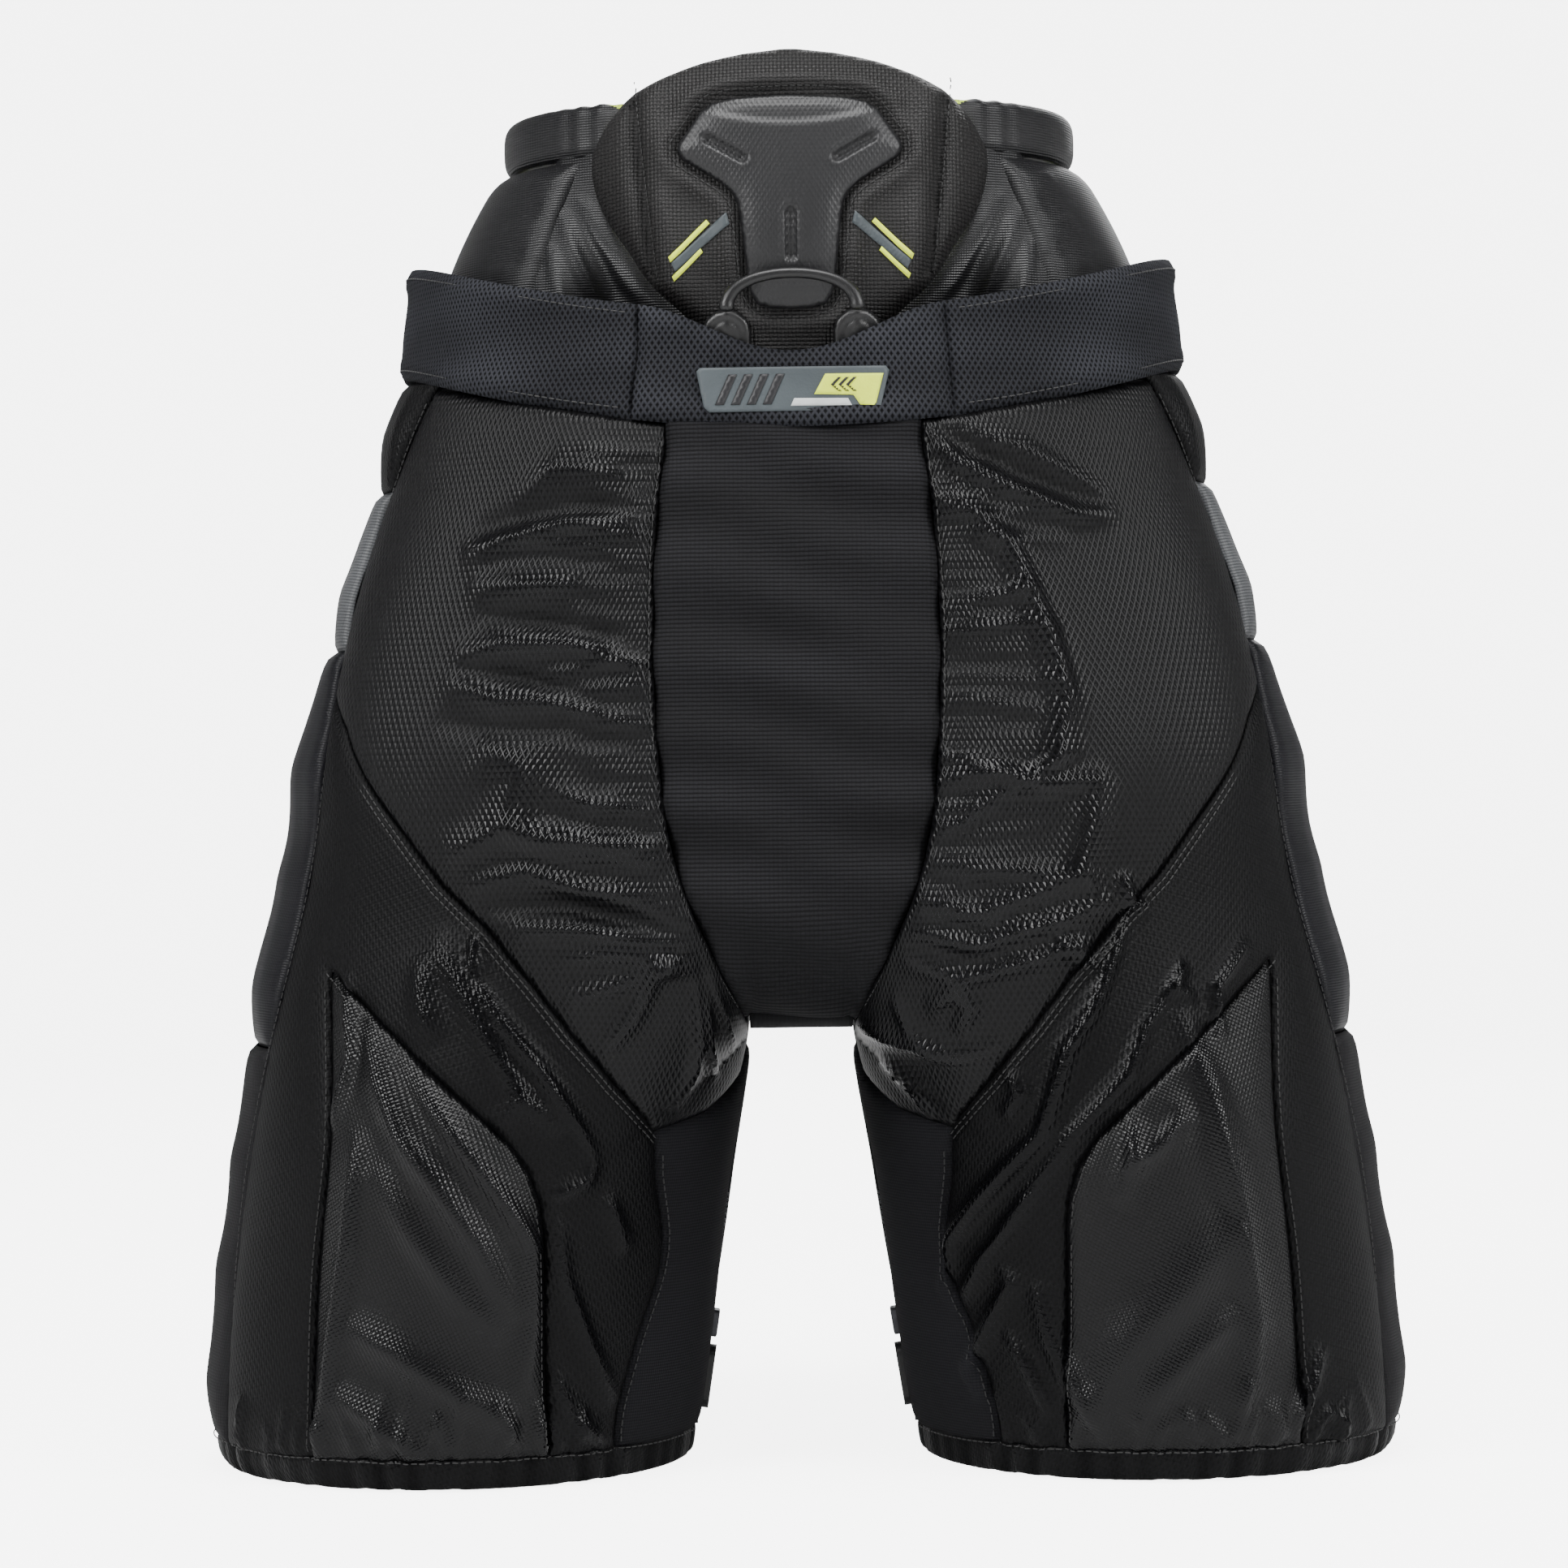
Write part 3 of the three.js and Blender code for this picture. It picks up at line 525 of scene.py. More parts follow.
levels = np.linspace(0.190, belt_foot(0.053) + 0.003, 34)
right_edge = np.column_stack([centre_half(levels), levels])
top_edge = np.column_stack([np.linspace(0.053, -0.053, 12)[1:-1]] * 2)
top_edge[:, 1] = belt_foot(top_edge[:, 0]) + 0.003
centre_outline = np.vstack([right_edge, top_edge, right_edge[::-1] * (-1, 1)])
centre_back, flat = cut_cloth("centre_back_panel_cloth", centre_outline, 0.003)
bands = sum(0.0009 * math.sin(k * 2.4) * np.exp(-((flat[:, 1] - at) / 0.008) ** 2)
            for k, at in enumerate(np.arange(0.235, 0.43, 0.017)))
dips = pinched(flat, centre_outline, 0.002, 0.0014) + bands + 0.0012 * np.cos(
    flat[:, 1] * 190 + 3 * np.sin(flat[:, 0] * 30))
stored(centre_back, "crest", bands / 0.0009)
set_places(centre_back, lifted(centre_skin, flat[:, 0], flat[:, 1], dips))
sewn(centre_back, stretch_knit, 0.0016)
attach(centre_back, "waist")
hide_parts("centre_back_panel")


# --- Shell panels of the back -------------------------------------------------------------------
# On each half: a glossy open-mesh seat panel down to a slanting seam, a matte panel that wraps
# over the thigh and down both sides, and a glossy woven panel set into it above the hem. Sewn from
# soft nylon, they crumple into long folds, which differ from left to right.

mesh_nylon = fabric("mesh_nylon", (0.0005, 0.0005, 0.0006), (0.0044, 0.0044, 0.0050), 640, 0.40,
                    relief=0.5, slant=1.0, polish=0.18, specular=0.20)
woven_nylon = fabric("woven_nylon", (0.0005, 0.0005, 0.0006), (0.0040, 0.0040, 0.0046), 640, 0.36,
                     relief=0.4, turn=0.5, polish=0.16, specular=0.25)
matte_nylon = fabric("matte_nylon", (0.0004, 0.0004, 0.0005), (0.0026, 0.0026, 0.0031), 640, 0.54,
                     relief=0.45, slant=0.6, turn=0.3, polish=0.28, specular=0.14)
gusset_knit = fabric("gusset_knit", (0.003, 0.003, 0.004), (0.011, 0.011, 0.013), 800, 0.85,
                     rib=0.5, specular=0.15)

side_seam = curve([(0, 246), (12, 246), (139, 237), (171, 230), (248, 210), (330, 196), (400, 178),
                   (457, 155), (466, 150)])
gusset_seam = curve([(0, 80), (22, 80), (53, 72), (95, 59), (134, 61), (146, 60)])
outer_seam = curve([(0, 206), (20, 206), (93, 203), (145, 197), (216, 198)])


def spread(points):
    """Points given as distance from the middle and height, in millimetres, as flat places."""
    points = np.array(points, float) / 1000
    return np.column_stack([GIRTH * angle_at(points[:, 0], points[:, 1]), points[:, 1]])


def on_back(line, low, high, step=0.008):
    """A seam that is known by its distance from the middle, as flat places between two heights."""
    heights = np.linspace(low, high, max(2, math.ceil(abs(high - low) / step)))
    return np.column_stack([GIRTH * angle_at(line(heights), heights), heights])


seat_seam = spread([(196, 330), (190, 316), (180, 293), (165, 272), (149, 251), (129, 232),
                    (112, 211), (95, 189), (78, 168), (61, 146)])
thigh_seam = spread([(198, 216), (184, 203), (169, 189), (149, 170), (129, 152), (120, 143),
                     (113, 132), (109, 119), (108, 108)])
inner_line = on_back(lambda z: 0.108 + 0 * z, 0.100, HEM)
outer_line = on_back(outer_seam, HEM, 0.208)
gusset_line = on_back(gusset_seam, HEM, 0.136)
belt_line = np.column_stack([np.linspace(0.150, 0.053, 14)] * 2)
belt_line[:, 1] = belt_foot(belt_line[:, 0])
seat_outline = np.vstack([
    on_back(centre_half, belt_foot(0.053), 0.190), spread([(24, 178), (27, 165), (40, 152)]),
    seat_seam[::-1], on_back(side_seam, 0.338, belt_foot(0.150)),
    spread(belt_line[1:-1] * 1000)])
thigh_outline = np.vstack([
    seat_seam, gusset_line[::-1], inner_line[::-1], thigh_seam[::-1], outer_line[::-1],
    on_back(side_seam, HEM, 0.322)])
lower_outline = np.vstack([thigh_seam, inner_line, outer_line])
gusset_outline = np.vstack([
    gusset_line, spread([(61, 146), (40, 152), (27, 165), (24, 178)]),
    np.array([[0.0, 0.178], [0.0, HEM]])])

# The folds of each half: (distance from the middle, height) along each, its half width and how
# far it stands up, in millimetres. Short puckers at the hem and gathers along the centre seam
# are added to them.
folds = {
    "left": [
        ([(115, 409), (95, 425), (69, 421)], 7, 1.8), ([(134, 396), (112, 402), (66, 408)], 5, -2.2),
        ([(138, 387), (119, 394), (93, 399), (60, 394)], 6, 3.4),
        ([(136, 374), (115, 374), (88, 372)], 8, 2.2),
        ([(131, 363), (100, 358), (60, 347)], 4, -2.4),
        ([(143, 344), (122, 350), (91, 351), (60, 336)], 6, 2.8),
        ([(140, 341), (109, 335), (78, 324), (62, 321)], 3.2, -2.6),
        ([(147, 336), (122, 327), (95, 327), (60, 317)], 6, 2.6),
        ([(150, 319), (122, 315), (95, 314), (60, 306)], 4, -1.6),
        ([(132, 309), (112, 298), (122, 273)], 11, 2.2), ([(104, 291), (83, 283), (58, 281)], 4, 1.8),
        ([(112, 283), (92, 276), (56, 273)], 3, -1.4), ([(99, 275), (78, 269), (56, 266)], 4, 1.8),
        ([(148, 263), (122, 273), (95, 269), (54, 258)], 7, 3.0),
        ([(140, 250), (112, 256), (88, 249), (50, 242)], 4.5, 2.4),
        ([(132, 242), (95, 242), (52, 231)], 4, -2.2), ([(119, 233), (88, 232), (45, 227)], 5, 2.6),
        ([(100, 220), (71, 222), (42, 216)], 4, 2.4), ([(98, 202), (78, 209), (42, 223)], 4, 2.4),
        ([(83, 181), (70, 196), (60, 215), (50, 224)], 3.6, 2.8),
        ([(56, 155), (48, 170), (44, 184), (44, 212)], 3.6, 2.6),
        ([(38, 166), (40, 184), (40, 207)], 2.8, 2.2), ([(30, 180), (34, 201), (38, 214)], 2.4, 1.8),
        ([(134, 214), (122, 194), (109, 177), (96, 155), (86, 136)], 3.0, 4.0),
        ([(86, 137), (91, 128), (107, 121)], 3.0, 2.8),
        ([(151, 232), (143, 216), (131, 192), (115, 163), (109, 154)], 5.5, 3.0),
        ([(155, 224), (156, 206), (152, 186)], 7, 2.4), ([(134, 232), (134, 213)], 2.6, 3.0),
        ([(126, 150), (115, 162), (99, 147)], 5, 2.2),
        ([(179, 197), (174, 170), (164, 147), (150, 128), (134, 103), (121, 70)], 5.5, 3.8),
        ([(166, 181), (147, 154), (131, 132), (121, 117), (113, 103), (113, 72), (117, 40)], 4, 3.4),
        ([(183, 150), (188, 103), (194, 72), (198, 48), (204, 16)], 4.5, 3.6),
        ([(190, 70), (170, 59), (153, 47), (134, 35), (120, 24)], 7, 3.0),
        ([(196, 42), (178, 29), (158, 12)], 5, 2.4),
        ([(176, 137), (160, 107), (141, 80), (124, 62)], 6, 2.4),
        ([(103, 115), (101, 88), (92, 59), (81, 32)], 4, 3.0), ([(83, 122), (75, 96)], 3.6, 2.4),
        ([(105, 49), (100, 28), (89, 16)], 3.4, 2.8), ([(109, 30), (104, 18), (103, 12)], 3, 2.2),
        ([(190, 215), (186, 180), (196, 150)], 3, 2.6),
    ],
    "right": [
        ([(52, 441), (67, 421), (91, 410), (115, 401), (134, 402)], 4.6, 3.0),
        ([(58, 436), (91, 418), (131, 404)], 3.4, -2.0), ([(60, 440), (95, 428), (132, 407)], 4, 1.6),
        ([(52, 411), (72, 401), (88, 386), (96, 368), (105, 344), (110, 325), (106, 303),
          (98, 289)], 7, 3.6),
        ([(58, 362), (80, 366), (96, 370)], 3.5, 1.6), ([(56, 351), (76, 353), (95, 356)], 3, 1.4),
        ([(58, 340), (90, 340)], 3.5, -1.0), ([(55, 302), (91, 293), (117, 306)], 4, 2.6),
        ([(52, 290), (81, 294), (98, 288), (128, 293)], 4, 2.8),
        ([(54, 278), (78, 284), (100, 292)], 3.2, 1.8),
        ([(124, 293), (120, 272), (116, 257), (122, 238)], 7, 2.6),
        ([(54, 268), (74, 280)], 3, 1.6), ([(50, 258), (80, 256), (116, 252)], 4, 2.0),
        ([(46, 244), (72, 238), (107, 248), (119, 253)], 5, 2.8),
        ([(44, 232), (72, 225), (105, 233), (131, 241)], 4.2, 3.2),
        ([(40, 220), (67, 211), (98, 218), (112, 222)], 4, 3.0),
        ([(52, 200), (64, 206), (70, 198), (64, 188)], 4.5, 3.2),
        ([(24, 192), (48, 183), (64, 177), (84, 182)], 4, 2.8),
        ([(34, 177), (48, 162), (55, 149)], 4, 2.6), ([(38, 205), (46, 190), (60, 176)], 3, 2.2),
        ([(103, 221), (113, 222), (120, 211)], 5, 3.0), ([(85, 172), (90, 162), (83, 152)], 4, 3.0),
        ([(142, 243), (133, 233), (127, 216), (119, 196), (109, 180), (104, 162), (99, 146),
          (90, 136), (75, 118), (62, 99), (60, 78), (66, 66)], 3.6, 4.4),
        ([(133, 252), (135, 240), (143, 238)], 3, 3.4),
        ([(158, 214), (140, 188), (133, 169), (112, 146), (96, 123), (80, 102)], 3.6, 3.0),
        ([(97, 122), (88, 108), (77, 94), (66, 72)], 3, 3.4),
        ([(154, 200), (167, 162), (174, 130), (179, 107), (185, 67), (184, 44), (177, 28)], 6.5, 3.6),
        ([(151, 160), (155, 152), (145, 140), (136, 133), (133, 157)], 3.4, 2.4),
        ([(176, 109), (154, 79), (135, 59), (122, 38), (112, 25)], 12, 3.2),
        ([(178, 72), (158, 52), (145, 39), (135, 22)], 7, 2.6),
        ([(95, 84), (102, 59), (112, 36), (119, 22)], 4.6, 3.2),
        ([(80, 90), (87, 83), (77, 62), (69, 44), (76, 29)], 3.4, 3.4),
        ([(83, 63), (93, 47), (103, 25)], 3.4, 3.0), ([(215, 55), (208, 33), (203, 20)], 3.4, 2.4),
        ([(186, 223), (171, 204), (172, 181)], 3, 3.0), ([(158, 216), (152, 204), (163, 199)], 3, 2.6),
        ([(140, 150), (132, 128), (130, 116)], 4, 1.8),
    ],
}
dice = np.random.default_rng(7)
for name in folds:
    drawn = []
    for at in np.arange(84, 240, 7.5):
        foot = at + dice.uniform(-3, 3)
        drawn.append(([(foot, 10), (foot + dice.uniform(-4, 4), 18),
                       (foot + dice.uniform(-8, 8), 26 + dice.uniform(0, 18))], 2.6,
                      dice.uniform(0.8, 2.2)))
    for at in np.arange(222, 430, 6.6):
        edge = 1000 * float(centre_half(at / 1000))
        drawn.append(([(edge - 6, at), (edge + 12, at + dice.uniform(-2, 2)),
                       (edge + dice.uniform(22, 62), at + dice.uniform(-7, 7))], 2.3,
                      dice.uniform(0.5, 1.3)))
    folds[name] = [(spread(sampled(line, 12)), width / 1000, tall / 1000)
                   for line, width, tall in folds[name] + drawn]

sides = {"left": -1, "right": 1}
FOLD_GAIN = 1.5


def bend_at_hip(piece):
    """Bakes the piece's place into its vertices. It does not bend the piece to follow the waist or a
    leg.
    """
    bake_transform(piece)


def shell(part, name, outline, material, stands_for, cell=0.0023, puff=0.0022,
          wrinkled=1.0, extra=()):
    """One sewn panel of one half's shell, folded and drawn in at its seams."""
    piece, flat = cut_cloth(f"{part}_{name}_cloth", outline, cell)
    fold = ridges(flat, folds[name]) * wrinkled * FOLD_GAIN + ridges(flat, extra)
    crease = np.array([[3.1, 2.2], [-2.6, 4.1], [4.7, -1.8]]) * 9
    ripple = sum(np.sin(flat @ wave + k) for k, wave in enumerate(crease)) * 0.0006
    # The fold height, which the fabric turns into painted shade in the hollows and painted light on
    # the crests.
    stored(piece, "crest", np.clip(fold / 0.003, -1, 1.2))
    put(piece, lifted(leg_skin, flat[:, 0] / GIRTH, flat[:, 1],
                      pinched(flat, outline, puff) + fold + ripple), sides[name])
    sewn(piece, material, 0.0016)
    bend_at_hip(piece)
    if stands_for:
        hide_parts(*[f"{node_name}_{name}" for node_name in stands_for])
    return piece


for name in sides:
    shell("seat_panel", name, seat_outline, mesh_nylon, ["seat_panel"])
    shell("thigh_back_panel", name, thigh_outline, matte_nylon, ["thigh_back_panel"])
    shell("back_lower_panel", name, lower_outline, woven_nylon,
          ["back_lower_panel"])
    shell("inner_gusset", name, gusset_outline, gusset_knit, ["inner_gusset"],
          cell=0.003)


# --- Side panels --------------------------------------------------------------------------------
# Outside the side seams each half has a dark bulging panel under the belt, a satin grey stripe, a
# satin panel down to the thigh and a dull woven one to the hem. Sewn one above the other.

satin_side = fabric("satin_side", (0.003, 0.003, 0.004), (0.008, 0.008, 0.0105), 900, 0.42, rib=0.7,
                    relief=0.3, specular=0.2)
stripe_nylon = fabric("stripe_nylon", (0.035, 0.037, 0.040), (0.085, 0.088, 0.092), 800, 0.45,
                      rib=0.8, relief=0.3, specular=0.35)
dull_side = fabric("dull_side", (0.002, 0.002, 0.0025), (0.007, 0.0065, 0.008), 800, 0.7)


def side_outline(low, high):
    """The side of a half between its back and front side seams, from one height to another."""
    back = on_back(side_seam, low, high, 0.01)
    front = back * (-1, 1) + (2 * math.pi * GIRTH, 0)
    return np.vstack([back, front[::-1]])


for name in sides:
    for part, low, high, material, slot, stands_for, wave in [
            ("side_panel_lower", HEM, 0.181, dull_side, "matte_nylon", ["side_panel_lower"], 0),
            ("side_panel_upper", 0.181, 0.350, satin_side, "matte_nylon", ["side_panel_upper"], 1),
            ("side_stripe", 0.350, 0.418, stripe_nylon, "stripe_nylon", ["side_stripe"], 2),
            ("side_panel_top", 0.418, 0.466, matte_nylon, "matte_nylon", [], 3)]:
        outline = side_outline(low, high)
        tucks = [(sampled([(x, low), (x + 0.006 * math.sin(x * 90 + wave), high)], 0.02), 0.007,
                  0.0013 * math.sin(x * 61 + wave)) for x in np.arange(0.29, 0.38, 0.014)]
        tucks += [(sampled([(0.26, z), (0.336, z + 0.006), (0.41, z)], 0.02), 0.012, 0.0014)
                  for z in np.arange(low + 0.02, high, 0.047)]
        shell(part, name, outline, material, stands_for, cell=0.004, puff=0.0035,
              wrinkled=0.4, extra=tucks)


# --- Front panels -------------------------------------------------------------------------------
# The front mirrors the back without the inset: a glossy open-mesh hip panel above, a matte thigh
# panel below, and the other half of the inner-leg gusset. Sewn to the side panels and the fly.

def to_front(outline):
    """Flat places on a half's back, mirrored onto its front."""
    return np.asarray(outline) * (-1, 1) + (2 * math.pi * GIRTH, 0)


def front_foot(across):
    """Height of the belt's lower edge on the front."""
    return belt_foot(across, 0.4525)


fly_half = curve([(187, 22), (194, 24), (215, 33), (240, 36), (452, 36)])
top_across = np.linspace(0.150, 0.036, 16)
front_top = np.column_stack([top_across, front_foot(top_across)])
hip_outline = to_front(np.vstack([
    on_back(fly_half, front_foot(0.036), 0.190), spread([(24, 178), (27, 165), (40, 152)]),
    seat_seam[::-1], on_back(side_seam, 0.338, front_foot(0.150)), spread(front_top[1:-1] * 1000)]))
thigh_front_outline = to_front(np.vstack([
    seat_seam, gusset_line[::-1], on_back(side_seam, HEM, 0.322)]))
for name, other in [("left", "right"), ("right", "left")]:
    mirrored = [(to_front(line), width, tall) for line, width, tall in folds[other]]
    for part, outline, material, slot, stands_for in [
            ("front_hip_panel", hip_outline, mesh_nylon, "mesh_nylon", ["front_hip_panel"]),
            ("front_thigh_panel", thigh_front_outline, matte_nylon, "matte_nylon",
             ["front_thigh_panel"]),
            ("front_gusset", to_front(gusset_outline), gusset_knit, "stretch_knit", [])]:
        shell(part, name, outline, material, stands_for, cell=0.0035, puff=0.0022,
              wrinkled=0.0, extra=mirrored)


# --- Crotch gusset and fly ----------------------------------------------------------------------
# A short strip of stretch knit joins the back panel to the fly under the crotch. The fly is a knit
# underlay with a loose flap over it, stitched down along the wearer's left edge.

crotch = started(bpy.ops.mesh.primitive_grid_add, "crotch_gusset_cloth", x_subdivisions=14,
                 y_subdivisions=46, size=1)
rows = places(crotch)
low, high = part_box("crotch_gusset")
turn = (rows[:, 1] + 0.5) * math.pi
reach = high[1] + 0.001 - 0.0008 * np.cos(rows[:, 0] * 2 * math.pi)
set_places(crotch, np.column_stack([
    rows[:, 0] * (high[0] - low[0] + 0.002), -reach * np.cos(turn),
    high[2] + 0.001 - (high[2] - low[2] + 0.001) * np.sin(turn) ** 0.8]))
crotch.data.uv_layers[0].name = "cloth"
for corner in crotch.data.uv_layers[0].data:
    corner.uv = (corner.uv[0] * 0.042, corner.uv[1] * 0.13)
reworked(crotch, bpy.ops.mesh.flip_normals)
sewn(crotch, stretch_knit, 0.0016)
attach(crotch, "waist")
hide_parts("crotch_gusset")


def front_skin(across, height):
    """A point on the front between the halves. Across runs from the wearer's right to the left."""
    return np.stack([-across, depth(across, height), height + 0 * across], -1)


levels = np.linspace(0.190, front_foot(0.036), 30)
edge = np.column_stack([fly_half(levels), levels])
underlay_outline = np.vstack([edge, edge[::-1] * (-1, 1)])
flap_low, flap_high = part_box("fly_flap")
flap_outline = np.array([(-0.030, flap_low[2]), (0.018, flap_low[2]), (0.030, flap_low[2] + 0.014),
                         (0.030, flap_high[2]), (-0.030, flap_high[2])])
for part, outline, lift, body, stands_for in [
        ("fly_underlay_cloth", underlay_outline, 0.0, "waist", "fly_underlay"),
        ("fly_flap_cloth", traced(flap_outline, 0.006), 0.0028, "fly_flap", "fly_flap")]:
    piece, flat = cut_cloth(part, outline, 0.003)
    waves = 0.0006 * np.sin(flat[:, 1] * 130 + 20 * flat[:, 0]) + pinched(flat, outline, 0.0010, 0.0)
    stored(piece, "crest", waves / 0.002)
    set_places(piece, lifted(front_skin, flat[:, 0], flat[:, 1], lift + waves))
    sewn(piece, stretch_knit if body == "waist" else matte_nylon, 0.0014)
    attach(piece, body)
    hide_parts(stands_for)


# --- Hems ---------------------------------------------------------------------------------------
# Each leg ends in a rolled hem of the shell's own nylon, turned up inside and stitched down about
# 12 mm above the edge. The roll puckers a little.

for name in sides:
    hem = started(bpy.ops.mesh.primitive_torus_add, f"hem_roll_{name}", major_segments=260,
                  minor_segments=18, major_radius=1, minor_radius=0.25)
    rows = places(hem)
    angle = np.arctan2(rows[:, 1], rows[:, 0]) % (2 * math.pi)
    ring = (np.hypot(rows[:, 0], rows[:, 1]) - 1) / 0.25
    rise = rows[:, 2] / 0.25
    pucker = 0.0005 * np.sin(angle * 23 + 3 * np.sin(angle * 7)) + 0.0003 * np.sin(angle * 51)
    height = 0.0068 + 0.0066 * np.sign(rise) * np.abs(rise) ** 0.6
    height = np.maximum(height + pucker * (rise < 0), 0.0002)
    placed = lifted(leg_skin, angle, height, -0.0018 + 0.0021 * np.sign(ring) * np.abs(ring) ** 0.7
                    + pucker * 1.3)
    placed[:, 0] *= sides[name]
    set_places(hem, placed)
    corner_of = np.empty(len(hem.data.loops), int)
    hem.data.loops.foreach_get("vertex_index", corner_of)
    hem.data.uv_layers[0].name = "cloth"
    hem.data.uv_layers[0].data.foreach_set("uv", np.column_stack([
        GIRTH * angle, height])[corner_of].ravel())
    stored(hem, "crest", pucker / 0.0008)
    reworked(hem, bpy.ops.mesh.normals_make_consistent)
    hem.data.materials.append(matte_nylon)
    hem.data.shade_smooth()
    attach(hem, f"{name}_leg")
    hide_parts(f"hem_band_{name}")


# --- Linings ------------------------------------------------------------------------------------
# A thin smooth lining hangs inside the waist and inside each leg. It is black, and stitched to the
# belt above and to the hem below.

lining_nylon = fabric("lining_nylon", (0.004, 0.004, 0.005), (0.012, 0.012, 0.013), 1400, 0.5,
                      relief=0.2)


def waist_skin(angle, height):
    """A point on the right half round the waist: 0 centre back, 90 side, 180 centre front."""
    across = half_width(height) * np.sin(angle)
    return np.stack([across, -np.sign(np.cos(angle) + 1e-9) * depth(across, height), height], -1)


round_leg, round_waist = 2 * math.pi * GIRTH, math.pi * GIRTH
for name in sides:
    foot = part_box(f"waist_lining_{name}")[0][2]
    near, far = GIRTH * math.radians(1), GIRTH * math.radians(179)
    for part, corners, skin, inset, wave in [
            ("waist_lining", [(near, foot), (far, foot), (far, 0.492), (round_waist / 2, 0.508),
                              (near, 0.466)], waist_skin, 0.0275, (110, 70)),
            ("leg_lining", [(0.014, HEM), (round_leg - 0.014, HEM), (round_leg - 0.014, 0.15),
                            (0.014, 0.15)], leg_skin, 0.0165, (90, 60))]:
        lining, flat = cut_cloth(f"{part}_cloth_{name}", traced(corners, 0.02), 0.007)
        stored(lining, "crest", np.zeros(len(flat)))
        soft = 0.0012 * np.sin(flat[:, 0] * wave[0]) * np.sin(flat[:, 1] * wave[1])
        rows = lifted(skin, flat[:, 0] / GIRTH, flat[:, 1], soft - inset)
        if part == "waist_lining":
            rows[:, 0] = np.maximum(rows[:, 0], 0.0008)
        put(lining, rows, sides[name])
        sewn(lining, lining_nylon, 0.001)
        if part == "waist_lining":
            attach(lining, "waist")
        else:
            bend_at_hip(lining)
        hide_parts(f"{part}_{name}")


# --- Belt ---------------------------------------------------------------------------------------
# A wide navy-charcoal knitted belt in three sections: a short back one whose top edge dips under
# the pull loop, and one round each side to the front. The knit has pale raised dots.

belt_knit = fabric("belt_knit", (0.001, 0.001, 0.0014), (0.024, 0.025, 0.030), 800, 0.75,
                   relief=0.9, slant=1.0, specular=0.12)
WAIST_HALF, WAIST_DEPTH = 0.167, 0.107
BELT_SEAM = math.asin(0.064 / WAIST_HALF)
BELT_UNIT = 1.4 * GIRTH  # metres of flat cloth to a radian round the belt


def belt_low(angle):
    """Height of the belt's lower edge."""
    middle = np.where(np.cos(angle) > 0, 0.438, 0.452)
    return middle + (0.468 - middle) * np.sin(angle) ** 2


def belt_high(angle):
    """Height of the belt's upper edge, which dips at the centre back."""
    share = np.clip(np.abs(angle) / BELT_SEAM, 0, 1)
    return belt_low(angle) + 0.048 - 0.016 * (0.5 + 0.5 * np.cos(math.pi * share))


for part, start, stop, stands_for in [
        ("belt_back_knit", -BELT_SEAM, BELT_SEAM, "belt_back"),
        ("belt_left_knit", BELT_SEAM, math.radians(178.6), "belt_left"),
        ("belt_right_knit", BELT_SEAM, math.radians(178.6), "belt_right")]:
    turns = np.linspace(start, stop, max(20, round((stop - start) / 0.06)))
    outline = np.vstack([np.column_stack([BELT_UNIT * turns, belt_low(turns)]),
                         np.column_stack([BELT_UNIT * turns, belt_high(turns)])[::-1]])
    belt, flat = cut_cloth(part, outline, 0.0026)
    angle = flat[:, 0] / BELT_UNIT
    far = nearest(flat, closed(outline))[0]
    soft = 0.0007 * np.sin(flat[:, 0] * 60) + 0.0006 * np.sin(flat[:, 1] * 160 + flat[:, 0] * 24)
    edge = -0.0022 * np.exp(-(far / 0.0022) ** 1.4) + 0.0008 * np.exp(-((far - 0.006) / 0.003) ** 2)
    stored(belt, "crest", soft / 0.0008)
    put(belt, lifted(waist_skin, angle, flat[:, 1], 0.0025 + soft + edge),
        -1 if part == "belt_left_knit" else 1)
    sewn(belt, belt_knit, 0.0045)
    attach(belt, "waist")
    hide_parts(stands_for)


# --- Belt patch ---------------------------------------------------------------------------------
# A rubbery printed patch sewn to the middle of the back belt: a grey field, slanting dark bars, a
# lime block with three arrowheads, and a pale bar below it.

def ink(name, colour, roughness=0.55):
    """Printed rubber of one colour, a little patchy and pitted."""
    material, tree, face = shader(name)
    object_place = own_place(tree)
    cells = node(tree, "ShaderNodeTexVoronoi", [("Vector", object_place), ("Scale", 900.0)])
    patchy = node(tree, "ShaderNodeTexNoise", [("Vector", object_place), ("Scale", 60.0),
                                               ("Detail", 5.0)])
    tone = node(tree, "ShaderNodeMapRange", [("Value", patchy.outputs["Fac"]), ("From Min", 0.3),
                                             ("From Max", 0.7), ("To Min", 0.85), ("To Max", 1.08)])
    toned = node(tree, "ShaderNodeVectorMath", [(0, colour), ("Scale", tone.outputs["Result"])],
                 operation="SCALE")
    bump = node(tree, "ShaderNodeBump", [("Height", cells.outputs["Distance"]), ("Strength", 0.25),
                                         ("Distance", 0.0003)])
    rough = node(tree, "ShaderNodeMapRange", [("Value", patchy.outputs["Fac"]),
                                              ("To Min", roughness - 0.08),
                                              ("To Max", roughness + 0.1)])
    plug(tree, face, [("Base Color", toned.outputs[0]), ("Roughness", rough.outputs["Result"]),
                      ("Normal", bump.outputs["Normal"])])
    return material


grey_ink = ink("grey_ink", (0.055, 0.068, 0.075))
lime_ink = ink("lime_ink", (0.80, 0.95, 0.05))
black_ink = ink("black_ink", (0.010, 0.010, 0.012), 0.45)
pale_ink = ink("pale_ink", (0.60, 0.62, 0.62))


